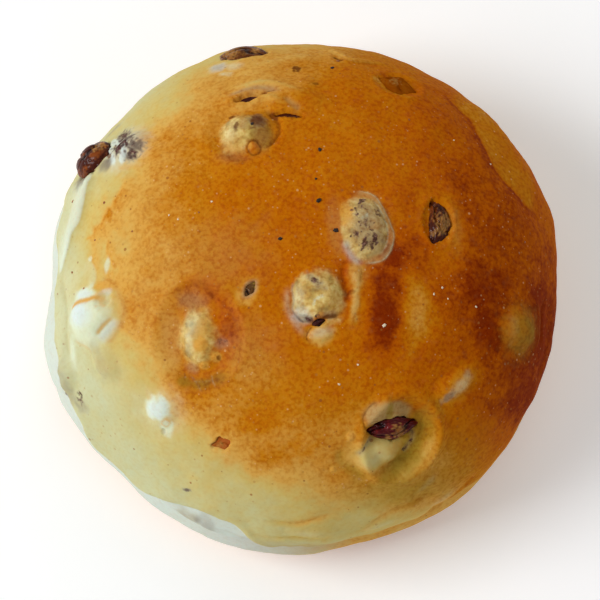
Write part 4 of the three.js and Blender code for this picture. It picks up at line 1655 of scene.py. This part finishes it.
    def build(self) -> bpy.types.Object:
        """Builds the crust as one object that carries its paint as attributes."""
        net = self.net()
        mesh = bpy.data.meshes.new("crust")
        net.to_mesh(mesh)
        net.free()
        plain = FORM.points(self.directions(corners_of(mesh)))
        mesh.vertices.foreach_set("co", (self.points(plain) * METRES).ravel())
        for paint, level in self.paint_levels(plain).items():
            store(mesh, paint.value, level)
        mesh.shade_smooth()
        mesh.update()
        return link_piece(bpy.data.objects.new("bun_crust", mesh))


def corners_of(mesh: bpy.types.Mesh) -> np.ndarray:
    """The mesh's corners as an array."""
    corners = np.zeros(len(mesh.vertices) * 3)
    mesh.vertices.foreach_get("co", corners)
    return corners.reshape(-1, 3)


def store(mesh: bpy.types.Mesh, name: str, values: np.ndarray) -> None:
    """Writes one value for each corner of a mesh, for its material to read."""
    mesh.attributes.new(name, "FLOAT", "POINT").data.foreach_set("value", values.astype(np.float32))


def link_piece(piece: bpy.types.Object) -> bpy.types.Object:
    """Puts an object into the scene and returns it."""
    bpy.context.scene.collection.objects.link(piece)
    return piece


# ---- raisins and crumbs: their bodies ------------------------------------------------------------


@dataclass(frozen=True)
class RaisinBody:
    """The wrinkled body of one raisin."""

    raisin: Raisin
    axes: CrustAxes

    def folds(self, directions: np.ndarray) -> np.ndarray:
        """How deep each direction lies in a fold, from 0 on a ridge to 1."""
        seed = self.raisin.seed
        stretched = directions * np.array([0.6, 1.0, 1.0])
        warp = np.stack([Ripples(1.6, seed + 100 * k).at(directions) for k in (1, 2, 3)], axis=1)
        folds = 1.0 - np.abs(np.tanh(1.9 * Ripples(1.15, seed).at(stretched + 0.14 * warp)))
        creases = 1.0 - np.abs(np.tanh(1.7 * Ripples(0.45, seed + 50).at(stretched + 0.1 * warp)))
        return np.clip(folds**1.7 + 0.35 * creases**2, 0.0, 1.4)

    def build(self) -> bpy.types.Object:
        """Builds the raisin's mesh."""
        ball = bmesh.new()
        bmesh.ops.create_icosphere(ball, subdivisions=6, radius=1.0)
        mesh = bpy.data.meshes.new(self.raisin.node)
        ball.to_mesh(mesh)
        ball.free()
        directions = unit(corners_of(mesh))
        folds = self.folds(directions)
        radius = 1.0 + self.raisin.depth * (0.25 - folds)
        level, power = directions[:, :2], self.raisin.power
        squeeze = np.linalg.norm(level, axis=1) / (np.abs(level) ** power).sum(axis=1) ** (1.0 / power)
        local = directions * np.stack([squeeze, squeeze, np.ones(len(squeeze))], axis=1)
        bow = self.raisin.bend * (1.0 - local[:, 0] ** 2)
        local *= radius[:, None] * np.array(self.raisin.half)
        local[:, 1] += bow
        placed = self.axes.to_world(local)
        mesh.vertices.foreach_set("co", (placed * METRES).ravel())
        store(mesh, "fold", folds)
        film = np.zeros(len(placed))
        for x, y, radius_of_film in self.raisin.film:
            away = np.hypot(placed[:, 0] - x, placed[:, 1] - y) / radius_of_film
            film = np.maximum(film, smooth_step(1.6 - away + 0.5 * Ripples(0.7, self.raisin.seed).at(placed)))
        store(mesh, "film", film)
        mesh.shade_smooth()
        mesh.update()
        return link_piece(bpy.data.objects.new(self.raisin.node + "_body", mesh))


@dataclass(frozen=True)
class Grains:
    """Small loose bits of one kind that stick to the crust, as one mesh.

    Attributes:
        name: The piece's name.
        places: Where each bit lies, in plan, and its size across.
        flatness: Its height as a share of its size.
    """

    name: str
    places: tuple[tuple[float, float, float], ...]
    flatness: float = 0.6

    def build(self, crust: Crust) -> bpy.types.Object:
        """Builds the bits where they lie on the finished crust."""
        net = bmesh.new()
        rng = np.random.default_rng(len(self.places))
        for x, y, size in self.places:
            axes = CrustAxes.at((x, y), float(rng.uniform(0, 180)))
            middle = crust.points(axes.origin[None, :])[0]
            made = bmesh.ops.create_icosphere(net, subdivisions=3, radius=1.0)["verts"]
            shape = np.array([v.co for v in made])
            shape *= 1.0 + 0.22 * Ripples(1.3, int(abs(x * 31 + y * 17))).at(shape)[:, None]
            shape *= np.array([rng.uniform(0.9, 1.35), 1.0, self.flatness]) * size / 2.0
            placed = CrustAxes(middle + 0.1 * size * axes.out, axes.along, axes.across, axes.out)
            for corner, point in zip(made, placed.to_world(shape) * METRES):
                corner.co = point
        mesh = bpy.data.meshes.new(self.name)
        net.to_mesh(mesh)
        net.free()
        mesh.shade_smooth()
        return link_piece(bpy.data.objects.new(self.name, mesh))


CHAR_SPECKS = Grains(
    "char_specks",
    (
        *((3.6, 18.9, 0.6), (2.9, 13.0, 0.4), (3.4, 8.7, 0.75), (6.5, 3.0, 0.75), (-3.6, 1.4, 0.65)),
        *((-8.6, 23.6, 0.5), (6.0, 37.7, 0.6)),
    ),
)
BROWN_SPECKS = Grains(
    "brown_specks",
    (
        *((-42.8, 14.5, 0.45), (-35.9, 11.3, 0.5), (-30.5, 4.6, 0.35), (-37.6, 4.4, 0.35), (-42.1, -0.4, 0.4)),
        *((-39.6, -4.4, 0.35), (-18.3, 6.9, 0.35), (40.1, 2.3, 0.4), (41.3, 4.7, 0.35), (37.1, -18.2, 0.4)),
        *((20.0, 26.1, 0.35), (7.1, 39.7, 0.5)),
    ),
    0.4,
)
PALE_CRUMBS = Grains(
    "pale_crumbs",
    (
        *((15.1, -14.1, 0.6), (10.4, -21.2, 0.35), (-16.0, 8.9, 0.35), (-23.7, 6.8, 0.3), (-22.0, 5.8, 0.3)),
        *((35.3, 19.2, 0.3), (28.3, 22.8, 0.3), (25.7, -6.6, 0.35), (24.1, -7.9, 0.3), (26.6, -8.5, 0.3)),
        *((31.7, -9.3, 0.3), (7.0, -24.6, 0.35)),
    ),
)


# ---- finishes ------------------------------------------------------------------------------------


class Finish:
    """A material and its node tree."""

    def __init__(self, name: str) -> None:
        """Starts a material with one principled shader."""
        self.material = bpy.data.materials.new(name)
        self.material.use_nodes = True
        self.tree = self.material.node_tree
        self.shader = next(n for n in self.tree.nodes if n.type == "BSDF_PRINCIPLED")
        self.place = self.node("TexCoord").outputs["Object"]

    def node(self, kind: str, settings: dict | None = None, **links: object) -> bpy.types.Node:
        """Adds a node.

        Args:
            kind: The node's type name, without "ShaderNode".
            settings: Properties of the node.
            **links: Inputs by name, with _ for a space, or in<number>; each is a value or a socket.

        Returns:
            The new node.
        """
        made = self.tree.nodes.new("ShaderNode" + kind)
        for name, value in (settings or {}).items():
            setattr(made, name, value)
        for name, value in links.items():
            key = int(name[2:]) if name[:2] == "in" and name[2:].isdigit() else name.replace("_", " ")
            self.join(made.inputs[key], value)
        return made

    def join(self, socket: bpy.types.NodeSocket, value: object) -> None:
        """Sets an input to a value, or links it to another socket."""
        if isinstance(value, bpy.types.NodeSocket):
            self.tree.links.new(value, socket)
        else:
            socket.default_value = value

    def set(self, **links: object) -> None:
        """Sets or links inputs of the principled shader."""
        for name, value in links.items():
            self.join(self.shader.inputs[name.replace("_", " ")], value)

    def attribute(self, name: str) -> bpy.types.NodeSocket:
        """A value that the mesh carries for each corner."""
        return self.node("Attribute", {"attribute_name": name}).outputs["Fac"]

    def noise(self, size: float, detail: float = 3.0, roughness: float = 0.5) -> bpy.types.NodeSocket:
        """Cloudy noise around 0.5 whose blobs are this many millimetres apart."""
        scale = per_metre(size)
        made = self.node("TexNoise", Vector=self.place, Scale=scale, Detail=detail, Roughness=roughness)
        return made.outputs["Fac"]

    def cells(self, size: float) -> bpy.types.NodeSocket:
        """Distance from the nearest of scattered points, this many millimetres apart."""
        return self.node("TexVoronoi", Vector=self.place, Scale=per_metre(size)).outputs["Distance"]

    def ramp(self, value: bpy.types.NodeSocket, stops: Sequence[tuple[float, str]]) -> bpy.types.NodeSocket:
        """A colour that changes with a value, through these stops of place and hex colour."""
        made = self.node("ValToRGB", Fac=value)
        elements = made.color_ramp.elements
        while len(elements) < len(stops):
            elements.new(0.5)
        for element, (place, colour) in zip(elements, stops):
            element.position = place
            element.color = linear(colour)
        return made.outputs["Color"]

    def maths(self, operation: str, *values: object) -> bpy.types.NodeSocket:
        """One step of arithmetic on values or sockets."""
        made = self.node("Math", {"operation": operation}, **{f"in{i}": v for i, v in enumerate(values)})
        return made.outputs[0]

    def step(self, value: object, low: float, high: float) -> bpy.types.NodeSocket:
        """0 where the value is at low, 1 where it is at high, and smooth between."""
        made = self.node("MapRange", {"interpolation_type": "SMOOTHSTEP"}, in0=value, in1=low, in2=high)
        return made.outputs[0]

    def stirred(self, value: object, noise: bpy.types.NodeSocket, amount: float) -> bpy.types.NodeSocket:
        """The value with noise added that is even round 0."""
        return self.maths("ADD", value, self.maths("MULTIPLY_ADD", noise, amount, -amount / 2))

    def mix(self, share: object, first: object, second: object, blend: str = "MIX") -> bpy.types.NodeSocket:
        """Mixes two colours by a share from 0 to 1."""
        return self.node(
            "Mix", {"data_type": "RGBA", "blend_type": blend}, in0=share, in6=first, in7=second
        ).outputs[2]


def per_metre(size: float) -> float:
    """Scale of a pattern whose blobs are this many millimetres apart."""
    return 1.0 / (size * METRES)


@dataclass(frozen=True)
class BakedCrust:
    """Bread crust: a thin, leathery, satin skin over soft crumb, browned by the oven.

    It gives the eye a warm colour that deepens where the oven caught it, fine dark mottling, freckles on the
    pale dough, painted glints on browned skin, and a low soft gloss.
    """

    name: str = "baked_bread_crust"
    bake_stops: tuple[tuple[float, str], ...] = (
        (0.0, "cccc9e"),
        (0.15, "cfc588"),
        (0.28, "d4ba6a"),
        (0.4, "dca84e"),
        (0.52, "d29032"),
        (0.62, "ca7e10"),
        (0.74, "c66e02"),
        (0.85, "bc5c00"),
        (0.93, "a44600"),
        (1.0, "8a2e00"),
    )

    def build(self) -> bpy.types.Material:
        """Builds the material."""
        finish = Finish(self.name)
        level = {paint: finish.attribute(paint.value) for paint in Paint}
        grain = finish.noise(0.7, 1.5, 0.5)
        mottle = finish.noise(1.6, 2.0, 0.5)
        bake = finish.stirred(level[Paint.BAKE], finish.noise(9.0, 2.0), 0.18)
        bake = finish.stirred(bake, finish.noise(3.2, 2.0, 0.5), 0.14)
        browned = finish.step(bake, 0.25, 0.6)
        fine = finish.maths("ADD", finish.stirred(0.0, mottle, 0.15), finish.stirred(0.0, grain, 0.12))
        bake = finish.maths("MULTIPLY_ADD", fine, finish.maths("MULTIPLY_ADD", browned, 0.7, 0.3), bake)
        colour = finish.ramp(bake, self.bake_stops)
        colour = self.dots(finish, colour, browned)
        colour = self.raisin_signs(finish, colour, level, mottle, grain)
        shade = finish.ramp(grain, ((0.45, "ffffff"), (0.7, "ecdccc")))
        colour = finish.mix(finish.maths("MULTIPLY_ADD", browned, 0.8, 0.2), colour, shade, "MULTIPLY")
        finish.set(Base_Color=colour, Roughness=0.6, IOR=1.42, Specular_IOR_Level=0.0)
        finish.set(Coat_Weight=0.07, Coat_Roughness=0.38, Coat_IOR=1.4)
        finish.set(Subsurface_Weight=0.1, Subsurface_Scale=0.0015, Subsurface_Radius=(1.0, 0.5, 0.25))
        pores = self.pores(finish, browned, grain)
        finish.set(Normal=pores, Coat_Normal=pores)
        return finish.material

    def dots(self, finish: Finish, colour: bpy.types.NodeSocket, browned: object) -> bpy.types.NodeSocket:
        """Tiny brown freckles, most on pale skin, and tiny pale flecks on browned skin that are painted
        glints.
        """
        for size, low, high, strength, tint in (
            (1.9, 0.13, 0.07, 0.4, "b07a40"),
            (3.4, 0.08, 0.045, 0.7, "9c5a28"),
        ):
            dot = finish.step(finish.stirred(finish.cells(size), finish.noise(size * 1.3), 0.24), low, high)
            colour = finish.mix(finish.maths("MULTIPLY", dot, strength), colour, linear(tint))
        # painted glints: tiny pale flecks on browned skin
        glint_fleck = finish.step(finish.stirred(finish.cells(1.2), finish.noise(3.0), 0.7), 0.12, 0.0)
        share = finish.maths("MULTIPLY", glint_fleck, finish.maths("MULTIPLY", browned, 0.4))
        return finish.mix(share, colour, linear("ecc490"))

    def raisin_signs(
        self,
        finish: Finish,
        colour: bpy.types.NodeSocket,
        level: dict[Paint, bpy.types.NodeSocket],
        mottle: bpy.types.NodeSocket,
        grain: bpy.types.NodeSocket,
    ) -> bpy.types.NodeSocket:
        """Lays the other paints over the baked colour, thin skin first and raisin bits last."""
        window = finish.step(finish.stirred(level[Paint.WINDOW], finish.noise(2.2, 3.0), 0.7), 0.1, 0.9)
        thin = finish.ramp(
            finish.noise(1.8, 2.0, 0.5),
            ((0.32, "a68c4e"), (0.45, "c8a85a"), (0.57, "dfc272"), (0.7, "eed88e")),
        )
        colour = finish.mix(finish.maths("MULTIPLY", window, 0.9), colour, thin)
        # tan skin, and in two broad patches painted sheen
        colour = finish.mix(finish.maths("MULTIPLY", level[Paint.TAN], 0.95), colour, linear("c09c62"))
        pale = finish.step(finish.stirred(level[Paint.PALE], mottle, 0.25), 0.0, 1.0)
        colour = finish.mix(pale, colour, linear("dfe6c4"))
        # painted cool light and highlights: blue-white laid over the pale dough
        colour = finish.mix(finish.maths("MULTIPLY", level[Paint.COOL], 0.85), colour, linear("dce9e8"))
        olive = finish.step(finish.stirred(level[Paint.OLIVE], mottle, 0.3), 0.0, 1.0)
        colour = finish.mix(finish.maths("MULTIPLY", olive, 0.85), colour, linear("a08428"))
        gold = finish.step(finish.stirred(level[Paint.GOLD], mottle, 0.4), 0.0, 0.9)
        colour = finish.mix(finish.maths("MULTIPLY", gold, 0.9), colour, linear("dca040"))
        # grey of raisins under the skin, and painted shade and shadows
        grey = finish.stirred(level[Paint.GREY], finish.noise(1.0, 4.0, 0.6), 0.4)
        shadow = finish.ramp(grey, ((0.2, "a8a08c"), (0.55, "86786a"), (0.95, "463432")))
        seen = finish.maths("MULTIPLY", finish.step(level[Paint.GREY], 0.0, 0.9), 0.95)
        colour = finish.mix(seen, colour, shadow)
        # painted crease shade and stains: dark brown laid into creases, edges and marks
        stain = finish.step(finish.stirred(level[Paint.STAIN], grain, 0.25), 0.05, 0.95)
        colour = finish.mix(finish.maths("MULTIPLY", stain, 0.85), colour, linear("66300a"))
        show = finish.step(finish.stirred(level[Paint.SHOW], finish.noise(1.1, 3.0, 0.6), 1.6), 0.42, 0.85)
        bits = finish.ramp(finish.noise(0.5, 2.0), ((0.35, "3a1a1c"), (0.55, "5a3434"), (0.7, "8c6a60")))
        return finish.mix(finish.maths("MULTIPLY", show, 0.9), colour, bits)

    def pores(self, finish: Finish, browned: object, grain: bpy.types.NodeSocket) -> bpy.types.NodeSocket:
        """Leathery grain: fine on browned skin, nearly smooth on pale dough."""
        height = finish.maths("MULTIPLY_ADD", finish.noise(0.9, 2.0, 0.5), 0.7, grain)
        strength = finish.maths("MULTIPLY_ADD", browned, 0.3, 0.05)
        return finish.node("Bump", Height=height, Strength=strength, Distance=0.00018).outputs["Normal"]


@dataclass(frozen=True)
class RaisinSkin:
    """Dried grape: dark, sugary, wrinkled skin that shines on its ridges and is dusty in patches."""

    tone: Tone

    def build(self) -> bpy.types.Material:
        """Builds the material."""
        finish = Finish(f"raisin_skin_{self.tone.name.lower()}")
        fold, ridge, lit = self.tone.value
        blotch = finish.noise(1.8, 4.0, 0.6)
        colour = finish.mix(finish.step(finish.attribute("fold"), 0.1, 0.8), linear(ridge), linear(fold))
        colour = finish.mix(finish.step(blotch, 0.5, 0.68), colour, linear(lit))
        film = finish.maths("MULTIPLY", finish.attribute("film"), 0.65)
        colour = finish.mix(film, colour, finish.ramp(blotch, ((0.4, "9a6226"), (0.6, "c08c46"))))
        gloss = 0.0 if self.tone in (Tone.BROWN, Tone.CHIP) else 0.18
        dust = finish.maths("MULTIPLY", finish.step(finish.noise(0.6, 3.0), 0.62, 0.8), gloss * 0.5)
        colour = finish.mix(dust, colour, linear("8c7480"))
        rough = finish.maths("MULTIPLY_ADD", blotch, 0.3, 0.2)
        finish.set(Base_Color=colour, Roughness=rough, Specular_IOR_Level=gloss * 0.6, IOR=1.45)
        finish.set(Subsurface_Weight=0.1, Subsurface_Scale=0.001, Coat_Weight=gloss, Coat_Roughness=0.1)
        bump = finish.node("Bump", Height=finish.noise(0.5, 3.0), Strength=0.3, Distance=0.0001)
        finish.set(Normal=bump.outputs["Normal"])
        return finish.material


@dataclass(frozen=True)
class Speck:
    """A plain, uneven colour for a loose bit: burnt flour, bran, or a dry crumb."""

    name: str
    dark: str
    light: str
    roughness: float

    def build(self) -> bpy.types.Material:
        """Builds the material."""
        finish = Finish(self.name)
        finish.set(Base_Color=finish.ramp(finish.noise(0.3), ((0.3, self.dark), (0.7, self.light))))
        finish.set(Roughness=self.roughness)
        return finish.material


CHAR = Speck("charred_flour", "120806", "2c1610", 0.7)
BRAN = Speck("browned_bran", "7c3810", "b06a2c", 0.6)
CRUMB = Speck("dry_crumb", "e6cfa4", "f6ead0", 0.75)


# ---- the studio ----------------------------------------------------------------------------------


@dataclass(frozen=True)
class Studio:
    """A pale floor, soft light from the left, and the camera above the front."""

    elevation: float = 75.0
    distance: float = 550.0
    target: tuple[float, float, float] = (0.0, -1.5, 20.0)
    pixels_per_mm: float = 5.24
    picture_width: int = 600
    sensor_width: float = 36.0

    def camera(self) -> bpy.types.Object:
        """Makes the camera that looks down on the bun."""
        data = bpy.data.cameras.new("camera")
        data.sensor_width = self.sensor_width
        data.lens = self.pixels_per_mm * self.distance * self.sensor_width / self.picture_width
        camera = link_piece(bpy.data.objects.new("camera", data))
        angle = math.radians(self.elevation)
        back = Vector((0.0, -math.cos(angle), math.sin(angle)))
        camera.location = (Vector(self.target) + back * self.distance) * METRES
        camera.rotation_euler = (math.radians(90.0) - angle, 0.0, 0.0)
        data.clip_start, data.clip_end = 0.01, 10.0
        bpy.context.scene.camera = camera
        return camera

    def lamp(
        self, name: str, azimuth: float, elevation: float, size: float, power: float, colour: str
    ) -> None:
        """A square soft light that faces the bun from 1.2 m away, size in metres."""
        data = bpy.data.lights.new(name, "AREA")
        data.size, data.energy, data.color = size, power, linear(colour)[:3]
        lamp = link_piece(bpy.data.objects.new(name, data))
        turn, rise = math.radians(azimuth), math.radians(elevation)
        away = Vector((math.cos(turn) * math.cos(rise), math.sin(turn) * math.cos(rise), math.sin(rise)))
        lamp.location = away * 1.2
        lamp.rotation_euler = away.to_track_quat("Z", "Y").to_euler()

    def floor(self) -> bpy.types.Object:
        """A pale, matt table top."""
        net = bmesh.new()
        bmesh.ops.create_grid(net, x_segments=1, y_segments=1, size=3.0)
        mesh = bpy.data.meshes.new("floor")
        net.to_mesh(mesh)
        net.free()
        finish = Finish("white_matt_paper")
        tone = finish.ramp(finish.noise(40.0), ((0.3, "fafaf8"), (0.7, "fdfdfc")))
        finish.set(Base_Color=tone, Roughness=0.9, Emission_Color=linear("ffffff"), Emission_Strength=0.18)
        mesh.materials.append(finish.material)
        floor = link_piece(bpy.data.objects.new("floor", mesh))
        return floor

    def light(self) -> None:
        """Cool window light from the left, low fill, and an even pale surround."""
        self.lamp("window", 186.0, 44.0, 0.6, 9.3, "fbfcff")
        self.lamp("room", 55.0, 50.0, 1.0, 2.2, "fffaf2")
        world = bpy.data.worlds.new("surround")
        world.use_nodes = True
        background = world.node_tree.nodes["Background"]
        background.inputs["Color"].default_value = linear("f6f8fc")
        background.inputs["Strength"].default_value = 0.35
        bpy.context.scene.world = world

    def build(self) -> None:
        """Makes camera, floor and lights, and shows colours as they are."""
        bpy.context.scene.view_settings.view_transform = "Standard"
        self.camera()
        self.floor()
        self.light()


def dress(piece: bpy.types.Object, material: bpy.types.Material, node: str | None = None) -> None:
    """Gives a piece its material, ties it to the bun and hides the imported part that it stands for, if any.
    """
    piece.data.materials.append(material)
    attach(piece, BODY)
    if node:
        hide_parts(node)
    log.info("%s: %d faces", piece.name, len(piece.data.polygons))


def main() -> None:
    """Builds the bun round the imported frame."""
    logging.basicConfig(level=logging.INFO, format="%(message)s")
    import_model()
    Studio().build()
    crust = Crust()
    dress(crust.build(), BakedCrust().build(), "bun")
    skins = {tone: RaisinSkin(tone).build() for tone in Tone}
    for raisin in RAISINS:
        body = RaisinBody(raisin, crust.raisin_axes(raisin)).build()
        dress(body, skins[raisin.tone], raisin.node)
    for grains, speck in ((CHAR_SPECKS, CHAR), (BROWN_SPECKS, BRAN), (PALE_CRUMBS, CRUMB)):
        dress(grains.build(crust), speck.build())


if __name__ == "__main__":
    main()
